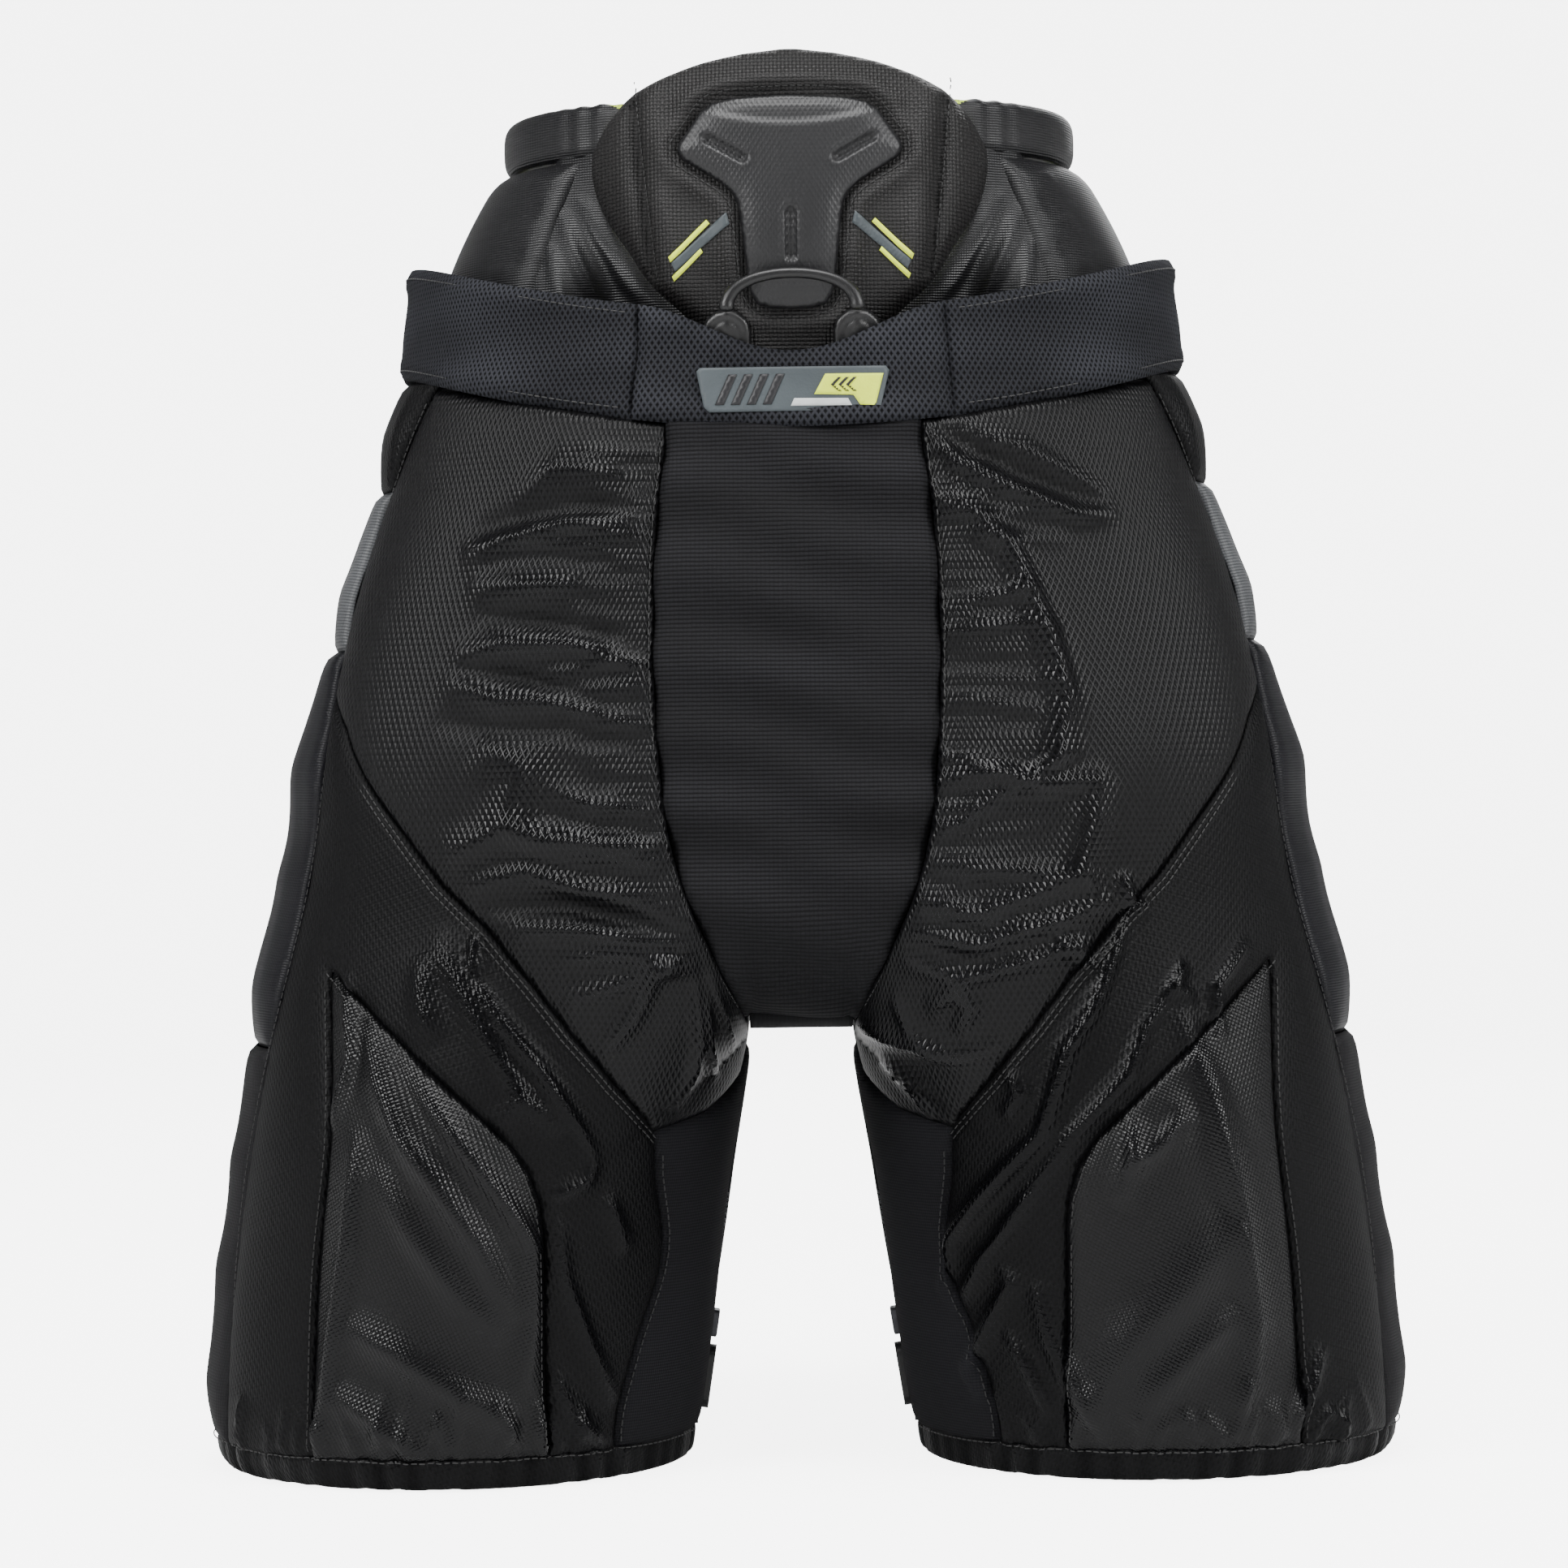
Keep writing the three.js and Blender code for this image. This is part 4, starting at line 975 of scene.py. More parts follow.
def print_on(name, outline, surface, lift, thickness, material, cell=0.0016):
    """A flat printed or moulded shape laid on a surface of across and height."""
    piece, flat = cut_cloth(name, traced(outline, cell * 1.5), cell)
    set_places(piece, lifted(surface, flat[:, 0], flat[:, 1], lift + 0 * flat[:, 0]))
    walled(piece, material, thickness)
    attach(piece, "waist")
    return piece


def belt_face(across, height):
    """The outer face of the back belt."""
    angle = np.arcsin(np.clip(across / half_width(height), -1, 1))
    return lifted(waist_skin, angle, height, 0.0027 + 0 * across)


patch_low, patch_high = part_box("belt_patch")
middle = (patch_high[2] + patch_low[2]) / 2
millimetres = lambda pairs: np.array(pairs, float) / 1000 + (0, middle)
patch = print_on("belt_patch_field", millimetres(
    [(-38, 9.4), (-39.4, 8), (-36.6, -7), (-34.5, -9.2), (34, -9.2), (35.8, -7.6), (39.4, 7.6),
     (38, 9.4)][::-1]), belt_face, 0.0012, 0.0012, grey_ink)
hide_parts("belt_patch")
marks = [(f"patch_bar_{k}", [(x, -6.4), (x + 3.6, -6.4), (x + 9.2, 6.4), (x + 5.6, 6.4)], black_ink)
         for k, x in enumerate((-32, -25.5, -19, -12.5))]
marks.append(("patch_lime_block", [(8.6, -2.4), (24.6, -2.8), (27.4, -7), (33.6, -7.2), (37, 6.2),
                                   (13.2, 6.2)], lime_ink))
marks.append(("patch_pale_bar", [(-1, -7.2), (24, -7.2), (22.4, -4.2), (0.4, -4)], pale_ink))
for name, pairs, material in marks:
    print_on(name, millimetres(pairs), belt_face, 0.0015, 0.0004, material)
for k in range(3):
    x = 15.5 + 3.1 * k
    print_on(f"patch_arrow_{k}", millimetres(
        [(x, 1.6), (x + 3, -1.2), (x + 4.2, -1.2), (x + 1.4, 1.6), (x + 4.2, 4.6), (x + 3, 4.6)]),
        belt_face, 0.0018, 0.0003, black_ink, 0.0008)


# --- Spine pad ----------------------------------------------------------------------------------
# A shield-shaped foam pad that rises from the back of the belt. Its cover is coarse woven nylon
# with a seam down each wing, drawn in round the moulded cap, and lime lining on the wearer's side.

ballistic_nylon = fabric("ballistic_nylon", (0.001, 0.001, 0.001), (0.014, 0.013, 0.013), 620, 0.58,
                         relief=0.9, specular=0.35, polish=0.05, planar=(math.radians(90), 0, 0))
lime_lining = fabric("lime_lining", (0.30, 0.42, 0.03), (0.62, 0.78, 0.10), 700, 0.6, relief=0.5,
                     planar=(math.radians(90), 0, 0))
pad_half = curve([(446, 35), (470, 34), (479, 37), (488, 46), (497, 56), (516, 69), (535, 80.5),
                  (546, 83.5), (558, 82.5), (570, 75), (580, 64), (588, 47), (593, 30), (596, 12),
                  (597, 2)])
pad_face = curve([(446, 99.4), (470, 99.4), (490, 103), (510, 108.4), (560, 108), (597, 103)])


def pad_front(across, height):
    """The front of the spine pad's cover before it is stuffed."""
    wing = np.abs(across) - 0.057 - 0.106 * (height - 0.5)
    wing = np.where(wing > 0.002, wing, np.clip(wing + 0.002, 0, 1) ** 2 / 0.008)
    return np.stack([across, -(pad_face(height) - 1.7 * across ** 2 - 0.8 * wing),
                     height + 0 * across], -1)


cap_outline = np.array([
    (0, 576.2), (14, 575.9), (27, 574.8), (35, 573), (39, 570), (44, 563), (49.5, 556), (50, 552.5),
    (48, 549.5), (38, 543.6), (30, 538.6), (25.5, 534.5), (23.4, 530), (22.2, 522), (21.2, 513),
    (19.8, 502), (18.2, 494), (15.5, 489.6), (9, 487.8), (0, 487.4)]) / 1000
cap_outline[:, 0] *= 0.93
cap_outline = np.vstack([cap_outline, (cap_outline * (-1, 1))[-2:0:-1]])


def stuffed(name, outline, cell, place_front, place_back, front, back=None):
    """A closed pad: two layers of cloth cut alike and joined all round, front and back."""
    piece, flat = cut_cloth(name, outline, cell)
    reworked(piece, bpy.ops.mesh.duplicate, bpy.ops.mesh.flip_normals)
    far = nearest(flat, closed(outline))[0]
    set_places(piece, np.vstack([place_front(flat, far), place_back(flat, far)]))
    sides_of = np.repeat([0, 1], len(piece.data.polygons) // 2)
    piece.data.materials.append(front)
    if back:
        piece.data.materials.append(back)
        piece.data.polygons.foreach_set("material_index", sides_of)
    reworked(piece, lambda: bpy.ops.mesh.remove_doubles(threshold=0.00005))
    piece.data.shade_smooth()
    return piece


def round_over(far, radius):
    """How much of its full thickness a stuffed pad has at a distance from its seam."""
    share = np.clip(far / radius, 0, 1)
    return np.sqrt(1 - (1 - share) ** 2)


wing_seams = [sampled([(s * 0.066, 0.585), (s * 0.062, 0.545), (s * 0.057, 0.500)], 0.01)
              for s in (-1, 1)]
welt = sampled(closed(cap_outline), 0.004)
brow = sampled([(-0.045, 0.574), (-0.03, 0.582), (0, 0.5845), (0.03, 0.582), (0.045, 0.574)], 0.01)


def pad_relief(flat):
    """Seams down the wings, and a welt that stands up round the cap."""
    far = nearest(flat, welt)[0]
    out = ~inside(flat, cap_outline)
    relief = np.where(out, 0.0022 * np.exp(-((far - 0.0065) / 0.0035) ** 2)
                      - 0.0012 * np.exp(-(far / 0.002) ** 2), -0.0008)
    for seam in wing_seams:
        far = nearest(flat, seam)[0]
        relief += -0.0050 * np.exp(-(far / 0.0024) ** 1.3) + 0.0026 * np.exp(
            -((far - 0.008) / 0.005) ** 2)
    relief += 0.0018 * np.exp(-(nearest(flat, brow)[0] / 0.004) ** 2)
    relief += 0.0007 * np.sin(flat[:, 0] * 130 + flat[:, 1] * 60) * np.sin(flat[:, 1] * 150)
    return relief


levels = np.concatenate([np.linspace(0.447, 0.58, 30), np.linspace(0.583, 0.5968, 9)])
pad_edge = np.column_stack([pad_half(levels), levels])
pad_outline = np.vstack([pad_edge, pad_edge[::-1] * (-1, 1)])


def pad_skin(across, height):
    """The finished front of the spine pad, seams and welt included."""
    flat = np.column_stack([across, height])
    far = nearest(flat, closed(pad_outline))[0]
    rows = pad_front(across, height)
    rows[:, 1] += 0.010 * (1 - round_over(far, 0.014)) - pad_relief(flat) * (far > 0.003)
    return rows


spine_pad = stuffed(
    "spine_pad_cushion", pad_outline, 0.0017, lambda flat, far: pad_skin(flat[:, 0], flat[:, 1]),
    lambda flat, far: pad_front(flat[:, 0], flat[:, 1]) + np.column_stack([
        0 * far, 0.010 + 0.0115 * round_over(far, 0.012), 0 * far]), ballistic_nylon, lime_lining)
# The relief is stored as the cover's fold height, so its colour has painted shade in the seam grooves
# and painted light on the raised welt and brow.
stored(spine_pad, "crest", np.clip(pad_relief(places(spine_pad)[:, [0, 2]]) / 0.001, -4, 1))
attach(spine_pad, "waist")
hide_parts("spine_pad_cover", "spine_pad_foam")

# Printed flashes beside the cap, ironed onto the cover.
for mirror, name in [(1, "left"), (-1, "right")]:
    for part, pairs, material in [
            ("grey", [(-49.5, 507), (-26.6, 526.8), (-25.4, 522), (-38.5, 511.6), (-48, 503.4)],
             grey_ink),
            ("lime_long", [(-50.6, 509.4), (-34.8, 524.2), (-33.4, 522.6), (-49.8, 507.2)], lime_ink),
            ("lime_short", [(-49.2, 501.6), (-37.4, 512.6), (-36.4, 511), (-48.4, 499.6)], lime_ink)]:
        corners = np.array(pairs) / 1000 * (mirror, 1)
        corners = corners if mirror < 0 else corners[::-1]
        print_on(f"flash_{part}_{name}", corners, pad_skin, 0.0005, 0.0004, material, 0.0012)


# --- Spine cap ----------------------------------------------------------------------------------
# A stiff moulded Y with a narrow neck, bonded to the face of the spine pad. It has a fine diamond
# texture, a raised brow, and three rounded slots pressed into it.

def moulding(name, colour, roughness, grain=900.0, relief=0.35):
    """Moulded plastic or rubber with a fine diamond grain."""
    material, tree, face = shader(name)
    object_place = own_place(tree)
    turned = node(tree, "ShaderNodeMapping", [("Vector", object_place),
                                              ("Rotation", (math.radians(90), 0, 0))])
    diamond = node(tree, "ShaderNodeGroup", [
        ("Vector", turned.outputs["Vector"]), ("Threads", grain), ("Slant", 1.0), ("Rib", 0.0)],
        node_tree=weave)
    used = node(tree, "ShaderNodeGroup", [
        ("Vector", object_place), ("Colour", (*colour, 1)), ("Roughness", roughness),
        ("Crest", 0.0)], node_tree=wear_and_fold_shading)
    bump = node(tree, "ShaderNodeBump", [("Height", diamond.outputs["Height"]),
                                         ("Strength", relief), ("Distance", 0.0003)])
    plug(tree, face, [("Base Color", used.outputs["Colour"]), ("Roughness", used.outputs["Roughness"]),
                      ("Normal", bump.outputs["Normal"])])
    return material


moulded_plastic = moulding("moulded_plastic", (0.011, 0.011, 0.012), 0.44)
slots = [sampled(np.array(ends) / 1000, 0.004) for ends in (
    [(-33.5, 557.2), (-19.5, 549)], [(33.5, 557.2), (19.5, 549)], [(0, 526.5), (0, 509.5)])]
cap, flat = cut_cloth("spine_cap_moulding", cap_outline, 0.0011)
far = nearest(flat, closed(cap_outline))[0]
relief = 0.0028 * round_over(far, 0.004) + 0.0012 * round_over(np.maximum(far - 0.004, 0), 0.01)
for line in slots:
    near = nearest(flat, line)[0]
    relief += -0.0024 * np.exp(-(near / 0.0022) ** 4)
    relief += 0.0004 * np.exp(-((near - 0.0032) / 0.001) ** 2)
crown = np.clip((flat[:, 1] - 0.5615 - 4.6 * flat[:, 0] ** 2) / 0.004, 0, 1)
relief -= 0.0011 * crown ** 2 * (3 - 2 * crown)
set_places(cap, lifted(pad_front, flat[:, 0], flat[:, 1], 0.0002 + relief))
walled(cap, moulded_plastic, 0.0025)
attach(cap, "waist")
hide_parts("spine_cap")


# --- Kidney pads --------------------------------------------------------------------------------
# A padded wing on each side of the spine pad, covered in finely ribbed satin, topped by a stuffed
# roll and backed with lime lining. They rise from inside the belt and lean in towards the top.

satin_nylon = fabric("satin_nylon", (0.002, 0.002, 0.0025), (0.011, 0.011, 0.0125), 900, 0.40,
                     rib=0.85, relief=0.5, specular=0.4, polish=0.08,
                     planar=(math.radians(90), 0, 0))


KIDNEY_UNIT = 0.15  # metres of flat cloth to a radian round the kidney pads


def leaning(height):
    """How far in a kidney pad leans, at a height."""
    share = np.clip((height - 0.468) / 0.1085, 0, 1.2)
    return 0.012 * share + 0.036 * share ** 2


def kidney_skin(angle, height):
    """The outer face of a kidney pad, which leans in above the belt."""
    lean = leaning(height)
    rows = waist_skin(angle, np.minimum(height, 0.52))
    return np.stack([rows[..., 0] * (1 - lean / WAIST_HALF),
                     rows[..., 1] * (1 - 0.4 * lean / WAIST_DEPTH), height + 0 * rows[..., 0]], -1)


def kidney_outline(part_low, part_high, inner):
    """Outline of a kidney piece in angle, as flat places, with a slanting inner seam."""
    levels = np.linspace(part_low, part_high, 12)
    return np.vstack([
        np.column_stack([KIDNEY_UNIT * np.radians(inner(levels)), levels]),
        np.column_stack([KIDNEY_UNIT * np.radians(98 - 0 * levels), levels])[::-1]])


inner_seam = lambda z: 45.5 - 0.02 * (z - 0.447) * 1000
for name in sides:
    def placed(flat, lift):
        return lifted(kidney_skin, flat[:, 0] / KIDNEY_UNIT, flat[:, 1], lift) * (sides[name], 1, 1)

    outline = kidney_outline(0.447, 0.5600, inner_seam)
    wrinkles = [(sampled([(KIDNEY_UNIT * math.radians(44), z),
                          (KIDNEY_UNIT * math.radians(50 + 4 * (k % 3)), z + 0.002)], 0.01),
                 0.0028, 0.0012) for k, z in enumerate(np.arange(0.476, 0.552, 0.0065))]
    pad = stuffed(
        f"kidney_cushion_{name}", outline, 0.003,
        lambda flat, far: placed(flat, -0.0045 - 0.0065 * (1 - round_over(far, 0.012))
                                 + ridges(flat, wrinkles)),
        lambda flat, far: placed(flat, -0.011 - 0.0075 * round_over(far, 0.010)),
        satin_nylon, lime_lining)
    if name == "left":
        reworked(pad, bpy.ops.mesh.flip_normals)
    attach(pad, "waist")
    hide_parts(f"kidney_pad_{name}")

    roll = started(bpy.ops.mesh.primitive_uv_sphere_add, f"kidney_roll_cushion_{name}",
                   segments=40, ring_count=90, radius=1)
    rows = places(roll)
    along = rows[:, 2]
    around = np.arctan2(rows[:, 1], rows[:, 0])
    share = (along + 1) / 2
    angle = np.radians(33 + 63 * share)
    plump = (1 - np.abs(along) ** 16) ** 0.5
    gather = 0.035 * np.sin(along * 34 + 3 * np.cos(around)) * np.exp(-((share - 0.12) / 0.2) ** 2)
    radius = plump * (1 + gather)
    out, up = [np.sign(one) * np.abs(one) ** 0.6 * radius
               for one in (np.cos(around), np.sin(around))]
    heart = kidney_skin(angle, 0.567 + 0 * angle)
    outward = heart * (1, 1, 0) / np.linalg.norm(heart[:, :2], axis=1)[:, None]
    rows = heart + outward * (out * 0.0102 - 0.0102)[:, None]
    rows[:, 2] += up * 0.0116
    rows[:, 0] *= sides[name]
    set_places(roll, rows)
    reworked(roll, bpy.ops.mesh.normals_make_consistent)
    roll.data.materials.append(satin_nylon)
    roll.data.materials.append(lime_lining)
    lined = np.cos(around) < 1.3 * np.clip((0.2 - share) / 0.2, 0, 1) - 0.2
    for face_of in roll.data.polygons:
        face_of.material_index = int(lined[list(face_of.vertices)].all())
    roll.data.shade_smooth()
    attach(roll, "waist")
    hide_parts(f"kidney_roll_{name}")


# --- Pleated gussets ----------------------------------------------------------------------------
# Thin satin between each kidney pad and the spine pad, caught behind the pad's edge. It hangs in
# slanting pleats, so that the pads can spread.

def pleat_skin(across, height):
    """From behind the spine pad's edge out to the kidney pad."""
    share = np.clip((across - 0.072) / 0.030, 0, 1)
    share = share ** 2 * (3 - 2 * share)
    behind = pad_face(height) - 3.4 * across ** 2 - 0.014
    lean = leaning(height)
    collar = depth(across / (1 - lean / WAIST_HALF), np.minimum(height, 0.52)) * (
        1 - 0.4 * lean / WAIST_DEPTH) - 0.009
    return np.stack([across, -(behind + (collar - behind) * share), height + 0 * across], -1)


pleat_outline = np.array([(119, 449), (116, 480), (112, 500), (107, 524), (102, 550), (94, 563),
                          (80, 563), (72, 545), (54, 506), (42, 486), (40, 449)]) / 1000
pleat_lines = [(sampled(np.array(line) / 1000, 0.008), 0.0024, tall) for line, tall in [
    ([(96, 534), (92, 518), (84, 500), (76, 486)], 0.0024),
    ([(89, 540), (80, 520), (70, 504), (58, 488)], 0.0028),
    ([(84, 538), (74, 518), (62, 500), (50, 486)], 0.0022),
    ([(101, 520), (99, 505), (94, 484)], 0.0018), ([(108, 512), (106, 494), (102, 480)], 0.0012)]]
for name in sides:
    pleat, flat = cut_cloth(f"pleat_gusset_cloth_{name}", traced(pleat_outline, 0.006), 0.0022)
    fold = ridges(flat, pleat_lines)
    stored(pleat, "crest", fold / 0.003)
    put(pleat, lifted(pleat_skin, flat[:, 0], flat[:, 1], fold), sides[name])
    sewn(pleat, satin_nylon, 0.001)
    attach(pleat, "waist")
    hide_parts(f"pleat_gusset_{name}")


# --- Pull loop ----------------------------------------------------------------------------------
# A rubber loop over the foot of the cap, for hanging the pants up. Each end runs into a moulded
# tab that is stitched down behind the back belt.

rubber = moulding("loop_rubber", (0.008, 0.008, 0.0085), 0.36, 2400.0, 0.15)


def tube(name, line, radius, rings, around):
    """A closed tube along a line, with a radius for each share of it. Its ends are rounded."""
    piece = started(bpy.ops.mesh.primitive_uv_sphere_add, name, segments=around, ring_count=rings,
                    radius=1)
    rows = places(piece)
    share = np.arccos(np.clip(rows[:, 2], -1, 1)) / math.pi
    turn = np.arctan2(rows[:, 1], rows[:, 0])
    run = np.concatenate([[0], np.cumsum(np.linalg.norm(np.diff(line, axis=0), axis=1))])
    run /= run[-1]

    def on_line(at):
        return np.stack([np.interp(np.clip(at, 0, 1), run, line[:, k]) for k in range(3)], 1)

    ahead = on_line(share + 0.01) - on_line(share - 0.01)
    ahead /= np.linalg.norm(ahead, axis=1, keepdims=True)
    outward = np.cross(ahead, np.array([0.0, 1.0, 0.0]))
    outward /= np.maximum(np.linalg.norm(outward, axis=1, keepdims=True), 1e-6)
    third = np.cross(ahead, outward)
    size = radius(share) * np.sqrt(np.clip(1 - np.clip(np.abs(share - 0.5) * 2 - 0.94, 0, 1) ** 2
                                           / 0.0036, 0, 1))
    set_places(piece, on_line(share) + size[:, None] * (
        outward * np.cos(turn)[:, None] + third * np.sin(turn)[:, None]))
    reworked(piece, lambda: bpy.ops.mesh.remove_doubles(threshold=0.00002),
             bpy.ops.mesh.normals_make_consistent)
    piece.data.shade_smooth()
    return piece


loop_low, loop_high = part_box("pull_loop")
turns = np.linspace(0, math.pi, 60)
half = (loop_high[0] - loop_low[0]) / 2 - 0.0023
arch = np.column_stack([-half * np.cos(turns), 0 * turns + (loop_low[1] + loop_high[1]) / 2,
                        loop_low[2] + 0.0006 + (loop_high[2] - loop_low[2] - 0.003)
                        * np.sin(turns) ** 0.75])
loop = tube("pull_loop_rubber", arch,
            lambda share: 0.0022 + 0.0013 * np.abs(2 * share - 1) ** 3, 90, 20)
loop.data.materials.append(rubber)
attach(loop, "pull_loop")
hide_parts("pull_loop")
for name in sides:
    low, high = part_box(f"loop_anchor_{name}")
    wide, tall = high[0] - low[0], high[2] - low[2]
    middle = (low[0] + high[0]) / 2
    outline = np.array([(-0.5, 0), (0.5, 0), (0.5, 0.72), (0.42, 0.86), (0.22, 0.97), (0, 1),
                        (-0.22, 0.97), (-0.42, 0.86), (-0.5, 0.72)]) * (wide, tall + 0.006)
    outline += (middle, low[2])
    tab, flat = cut_cloth(f"loop_tab_{name}", traced(outline, 0.002), 0.0011)
    far = nearest(flat, closed(outline))[0]
    shape = 0.0016 * round_over(far, 0.003) - 0.0009 * np.exp(-((far - 0.0042) / 0.0007) ** 2)
    shape += 0.0012 * np.exp(-((flat[:, 0] - middle) / 0.003) ** 2) * np.clip(
        (flat[:, 1] - low[2] - 0.010) / 0.012, 0, 1)
    set_places(tab, lifted(pad_front, flat[:, 0], flat[:, 1], 0.0022 + shape))
    walled(tab, rubber, 0.002)
    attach(tab, "waist")
    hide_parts(f"loop_anchor_{name}")


# --- Inner-leg zips -----------------------------------------------------------------------------
# A short zip up the inside of each leg: woven tape, a row of moulded teeth on it, a metal slider
# that runs up the teeth, and a rubber pull with an eye that hangs from the slider.

webbing = fabric("webbing", (0.003, 0.003, 0.003), (0.012, 0.012, 0.013), 900, 0.7, relief=0.8)
zip_metal, tree, face = shader("zip_metal")
scuff = node(tree, "ShaderNodeTexNoise", [("Vector", own_place(tree)), ("Scale", 420.0),
                                          ("Detail", 6.0)])
tone = node(tree, "ShaderNodeMix", [("Factor", scuff.outputs["Fac"]), (6, (0.03, 0.03, 0.033, 1)),
                                    (7, (0.10, 0.10, 0.11, 1))], data_type="RGBA")
gloss = node(tree, "ShaderNodeMapRange", [("Value", scuff.outputs["Fac"]), ("To Min", 0.25),
                                          ("To Max", 0.5)])
plug(tree, face, [("Base Color", tone.outputs[2]), ("Roughness", gloss.outputs["Result"]),
                  ("Metallic", 0.8)])


def softened(node_name, width, segments, material):
    """A rigid CAD piece with its edges rounded, in its own finish."""
    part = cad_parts[node_name]
    weld = part.modifiers.new("weld", "WELD")
    weld.merge_threshold = 0.00001
    bevel = part.modifiers.new("edges", "BEVEL")
    bevel.width, bevel.segments = width, segments
    bevel.limit_method, bevel.angle_limit = "ANGLE", math.radians(40)
    part.data.materials.clear()
    part.data.materials.append(material)


def merged(name, corners, faces, material):
    """One piece from many small ones, given as lists of corners and faces."""
    mesh = bpy.data.meshes.new(name)
    mesh.from_pydata(np.vstack(corners).tolist(), [], faces)
    piece = bpy.data.objects.new(name, mesh)
    bpy.context.scene.collection.objects.link(piece)
    piece.data.materials.append(material)
    piece.data.shade_smooth()
    return piece


def zip_skin(across, height):
    """The tape's face: a flat strip up the inner edge of the right leg."""
    return np.stack([inner_edge(height) - 0.0004 + 0 * across, across, height + 0 * across], -1)


for name in sides:
    low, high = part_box(f"zip_tape_{name}")
    half = (high[1] - low[1]) / 2
    outline = traced([(-half, HEM), (half, HEM), (half, high[2]), (-half, high[2])], 0.01)
    tape, flat = cut_cloth(f"zip_tape_cloth_{name}", outline, 0.0025)
    stored(tape, "crest", np.zeros(len(flat)))
    set_places(tape, zip_skin(flat[:, 0], flat[:, 1]) * (sides[name], 1, 1))
    if name == "right":
        reworked(tape, bpy.ops.mesh.flip_normals)
    sewn(tape, webbing, 0.001)
    bend_at_hip(tape)
    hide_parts(f"zip_tape_{name}")

    tooth = started(bpy.ops.mesh.primitive_cube_add, "tooth", size=1)
    reworked(tooth, lambda: bpy.ops.mesh.bevel(offset=0.22, segments=2))
    shape = places(tooth) * (0.0016, 0.0030, 0.0012)
    faces = [tuple(p.vertices) for p in tooth.data.polygons]
    bpy.data.objects.remove(tooth)
    corners, all_faces = [], []
    for k in range(46):
        z = high[2] - 0.0022 * (k + 1)
        spot = np.array([sides[name] * (float(inner_edge(z)) - 0.0010), 0.0011 * (-1) ** k, z])
        all_faces += [tuple(v + len(corners) * len(shape) for v in one) for one in faces]
        corners.append(shape + spot)
    teeth = merged(f"zip_teeth_{name}", corners, all_faces, zip_metal)
    bend_at_hip(teeth)
    softened(f"zip_slider_{name}", 0.0012, 3, zip_metal)
    softened(f"zip_pull_{name}", 0.0011, 4, rubber)


# --- Buckle -------------------------------------------------------------------------------------
# A side-release buckle closes the belt at the front: a moulded socket on a short strap, and a
# two-pronged tongue on the other strap, which pulls out sideways.

flat_webbing = fabric("flat_webbing", (0.003, 0.003, 0.003), (0.014, 0.014, 0.015), 800, 0.65,
                      relief=0.9, planar=(math.radians(90), 0, 0))
for part in ("buckle_socket", "buckle_tongue"):
    softened(part, 0.0008, 3, moulded_plastic)
for part in ("belt_strap_left", "belt_strap_right"):
    softened(part, 0.0005, 2, flat_webbing)


# --- Hidden padding -----------------------------------------------------------------------------
# Inside the shell are a foam pad over the tailbone, one over each hip, and a curved plastic guard
# round each thigh. They are slipped between the shell and the lining.

foam, tree, face = shader("foam")
cells = node(tree, "ShaderNodeTexVoronoi", [("Vector", own_place(tree)), ("Scale", 700.0)])
tone = node(tree, "ShaderNodeMix", [("Factor", cells.outputs["Distance"]),
                                    (6, (0.05, 0.052, 0.056, 1)), (7, (0.14, 0.145, 0.15, 1))],
            data_type="RGBA")
pores = node(tree, "ShaderNodeBump", [("Height", cells.outputs["Distance"]), ("Strength", 0.7),
                                      ("Distance", 0.0005)])
plug(tree, face, [("Base Color", tone.outputs[2]), ("Normal", pores.outputs["Normal"]),
                  ("Roughness", 0.9)])
for source in ("tailbone_pad", "hip_pad_left", "hip_pad_right"):
    copy = bpy.data.objects.new(f"{source}_cushion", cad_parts[source].data.copy())
    bpy.context.scene.collection.objects.link(copy)
    reworked(copy, lambda: bpy.ops.mesh.remove_doubles(threshold=0.00005),
             bpy.ops.mesh.tris_convert_to_quads)
    soften = copy.modifiers.new("rounding", "SUBSURF")
    soften.levels = soften.render_levels = 1
    copy.data.materials.clear()
    copy.data.materials.append(foam)
    copy.data.shade_smooth()
    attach(copy, "waist")
    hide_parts(source)
guard_plastic = moulding("guard_plastic", (0.010, 0.010, 0.011), 0.45, 500.0, 0.2)
for name in sides:
    softened(f"thigh_guard_{name}", 0.0012, 2, guard_plastic)


# --- Stitching ----------------------------------------------------------------------------------
# Rows of short dark stitches beside every shell seam, along the belt edges and above the hems. Each
# stitch is a small rounded dash of thread that lies in the fabric.

thread, tree, face = shader("thread")
ply = node(tree, "ShaderNodeTexNoise", [("Vector", own_place(tree)), ("Scale", 1800.0)])
tone = node(tree, "ShaderNodeMapRange", [("Value", ply.outputs["Fac"]), ("To Min", 0.003),
                                         ("To Max", 0.02)])
plug(tree, face, [("Base Color", tone.outputs["Result"]), ("Roughness", 0.5), ("Sheen Weight", 0.1)])
dash = started(bpy.ops.mesh.primitive_cylinder_add, "dash", vertices=6, radius=0.5, depth=1,
               rotation=(0, math.pi / 2, 0))
bpy.ops.object.transform_apply(location=False, rotation=True, scale=False)
reworked(dash, lambda: bpy.ops.mesh.bevel(offset=0.14, segments=1))
dash_shape = places(dash)
dash_faces = [tuple(p.vertices) for p in dash.data.polygons]
bpy.data.objects.remove(dash)


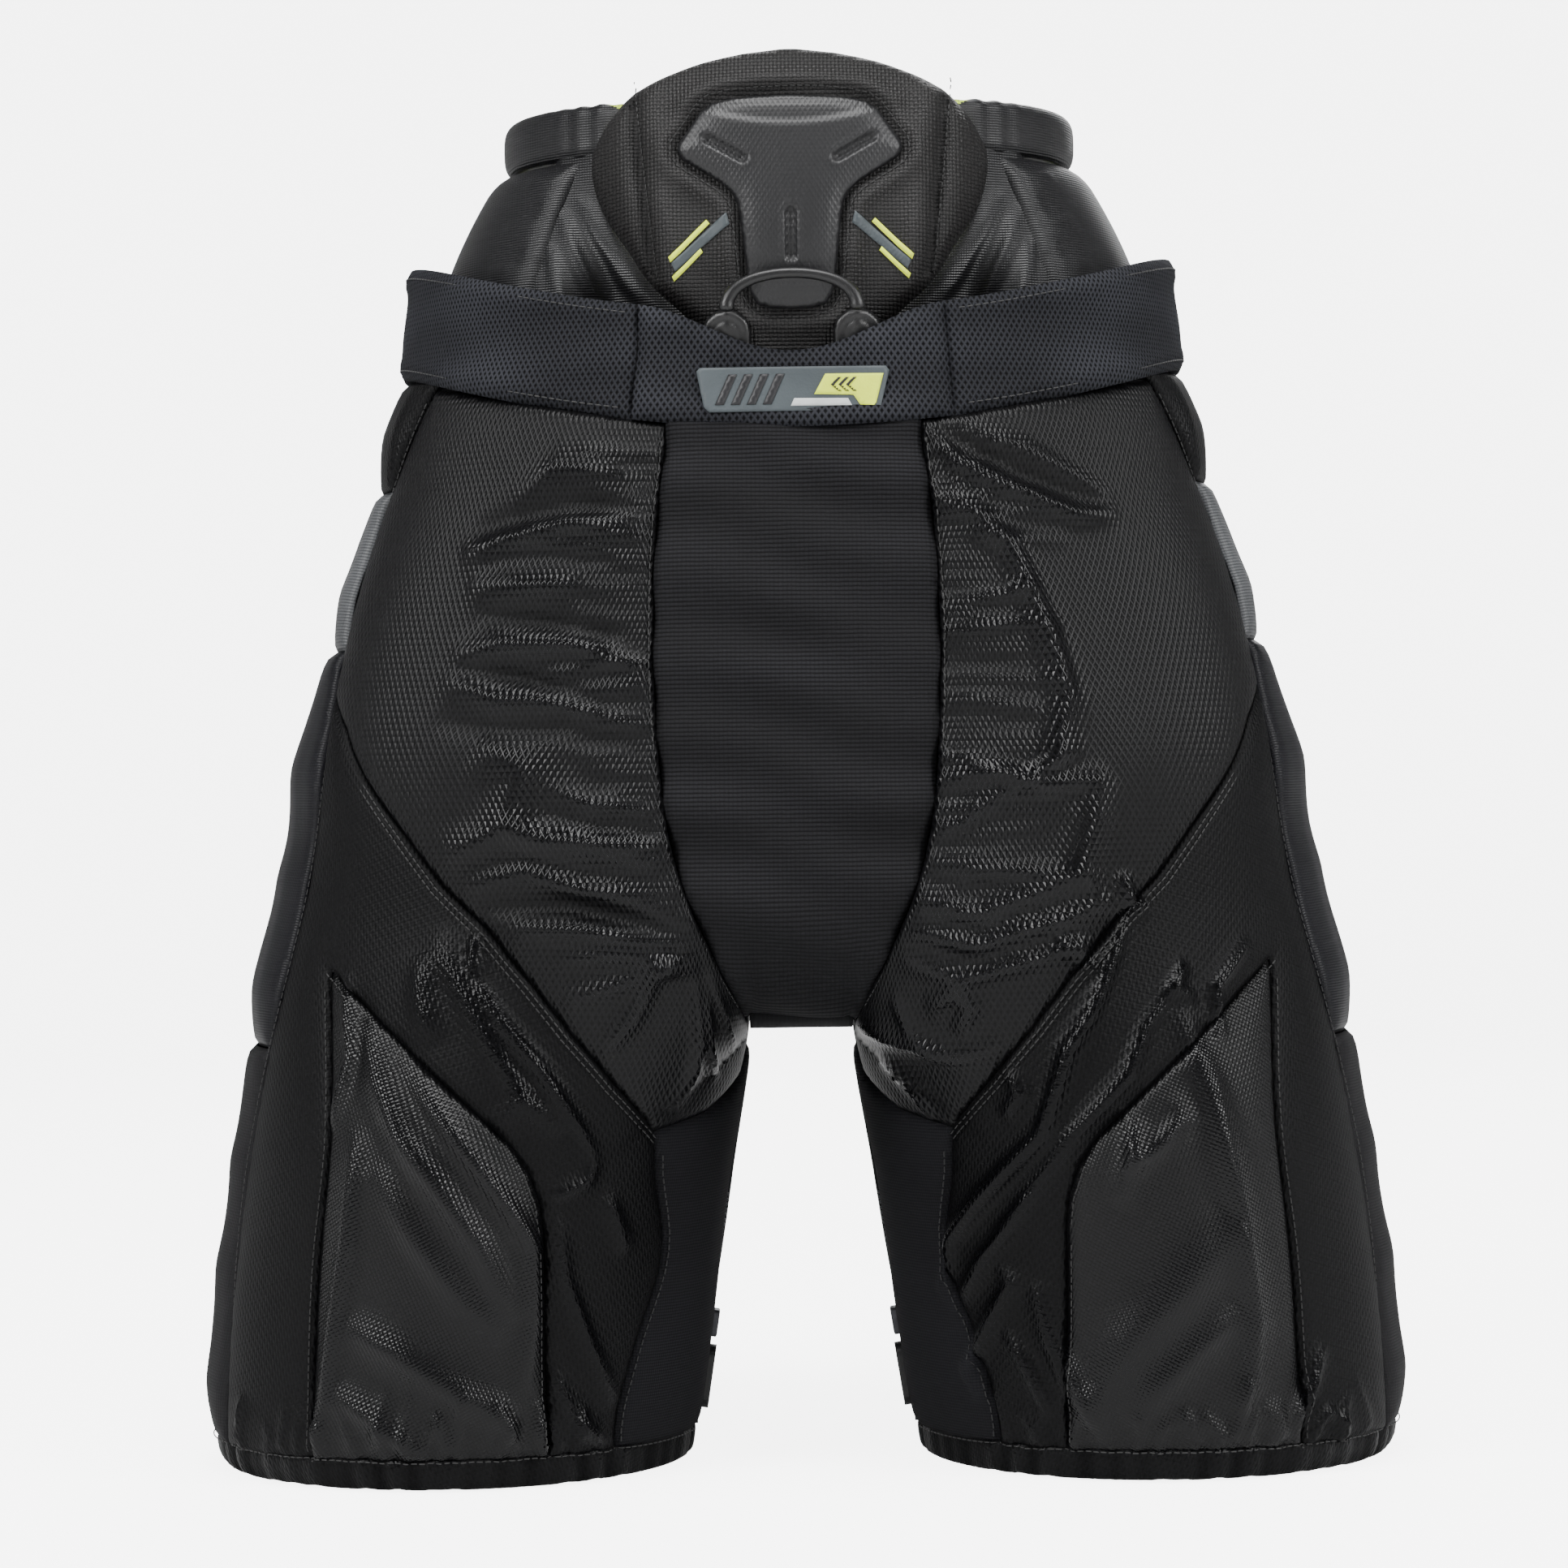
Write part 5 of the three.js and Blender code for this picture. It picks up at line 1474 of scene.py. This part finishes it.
def stitched(name, rows_of, skin, lift_at, mirror, pitch=0.0034, length=0.0024, width=0.0006):
    """Stitches along flat lines on a skin, as one piece."""
    corners, all_faces = [], []
    for line in rows_of:
        line = np.asarray(line, float)
        run = np.concatenate([[0], np.cumsum(np.linalg.norm(np.diff(line, axis=0), axis=1))])
        at = np.arange(pitch / 2, run[-1], pitch)
        spots, ends = [np.stack([np.interp(one, run, line[:, k]) for k in (0, 1)], 1)
                       for one in (at, np.minimum(at + 0.001, run[-1]))]
        lift = lift_at(spots)
        here = lifted(skin, spots[:, 0], spots[:, 1], lift)
        there = lifted(skin, ends[:, 0], ends[:, 1], lift_at(ends))
        above = lifted(skin, spots[:, 0], spots[:, 1], lift + 0.001)
        ahead = there - here
        keep = np.linalg.norm(ahead, axis=1) > 1e-6
        here, ahead, above = here[keep], ahead[keep], (above - here)[keep]
        ahead /= np.linalg.norm(ahead, axis=1, keepdims=True)
        above /= np.linalg.norm(above, axis=1, keepdims=True)
        across = np.cross(above, ahead)
        made = (here[:, None] + ahead[:, None] * dash_shape[None, :, :1] * length
                + across[:, None] * dash_shape[None, :, 1:2] * width
                + above[:, None] * dash_shape[None, :, 2:] * width)
        for one in made:
            all_faces += [tuple(v + len(corners) * len(dash_shape) for v in face_of)
                          for face_of in dash_faces]
            corners.append(one)
    if mirror < 0:
        all_faces = [face_of[::-1] for face_of in all_faces]
    return merged(name, np.vstack(corners) * (mirror, 1, 1), all_faces, thread)


def beside(line, gap):
    """A line moved sideways by a gap."""
    line = sampled(line, 0.004)
    step = np.gradient(line, axis=0)
    step /= np.maximum(np.linalg.norm(step, axis=1, keepdims=True), 1e-9)
    return line + np.column_stack([-step[:, 1], step[:, 0]]) * gap


side_line = on_back(side_seam, HEM, 0.455)
centre_line = on_back(centre_half, 0.2, 0.435)
joined = [sampled(one, 0.006) for one in (
    seat_seam, thigh_seam, inner_line, outer_line, side_line, gusset_line, centre_line)]
for name, side in sides.items():
    def on_fabric(flat):
        """Height of the folded shell over the garment's skin."""
        near = np.min([nearest(flat, one)[0] for one in joined], axis=0)
        return (ridges(flat, folds[name]) * FOLD_GAIN + 0.0022 * (1 - np.exp(-near / 0.009))
                - 0.0012 * np.exp(-(near / 0.0016) ** 2) + 0.0002)

    rows_of = [beside(line, gap) for line, gap in [
        (seat_seam, 0.0022), (seat_seam, 0.0044), (thigh_seam, 0.0022), (inner_line, 0.0022),
        (outer_line, -0.0022), (side_line, 0.003), (centre_line, -0.0022), (gusset_line, 0.0022)]]
    rows_of = [row[row[:, 1] > 0.013] for row in rows_of]
    rows_of.append(np.column_stack([np.linspace(0.02, GIRTH * math.pi * 2 - 0.02, 200),
                                    np.full(200, 0.0128)]))
    seams = stitched(f"seam_stitches_{name}", rows_of, lambda u, v: leg_skin(u / GIRTH, v),
                     on_fabric, side)
    bend_at_hip(seams)
    turns = np.linspace(BELT_SEAM + 0.03, math.radians(177), 90)
    edges = stitched(
        f"belt_stitches_{name}", [np.column_stack([turns * 0.15, belt_low(turns) + 0.004]),
                                  np.column_stack([turns * 0.15, belt_high(turns) - 0.004])],
        lambda u, v: waist_skin(u / 0.15, v), lambda flat: np.full(len(flat), 0.0030), side)
    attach(edges, "waist")
around_cap = beside(welt, 0.0034)
around_cap = around_cap[around_cap[:, 1] > 0.484]
for name, rows_of in [("cap", [around_cap]), ("wings", [beside(one, 0.0018) for one in wing_seams])]:
    rows = stitched(f"pad_stitches_{name}", rows_of, pad_skin,
                    lambda flat: np.full(len(flat), 0.0003), 1, 0.0030, 0.0021, 0.0006)
    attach(rows, "waist")
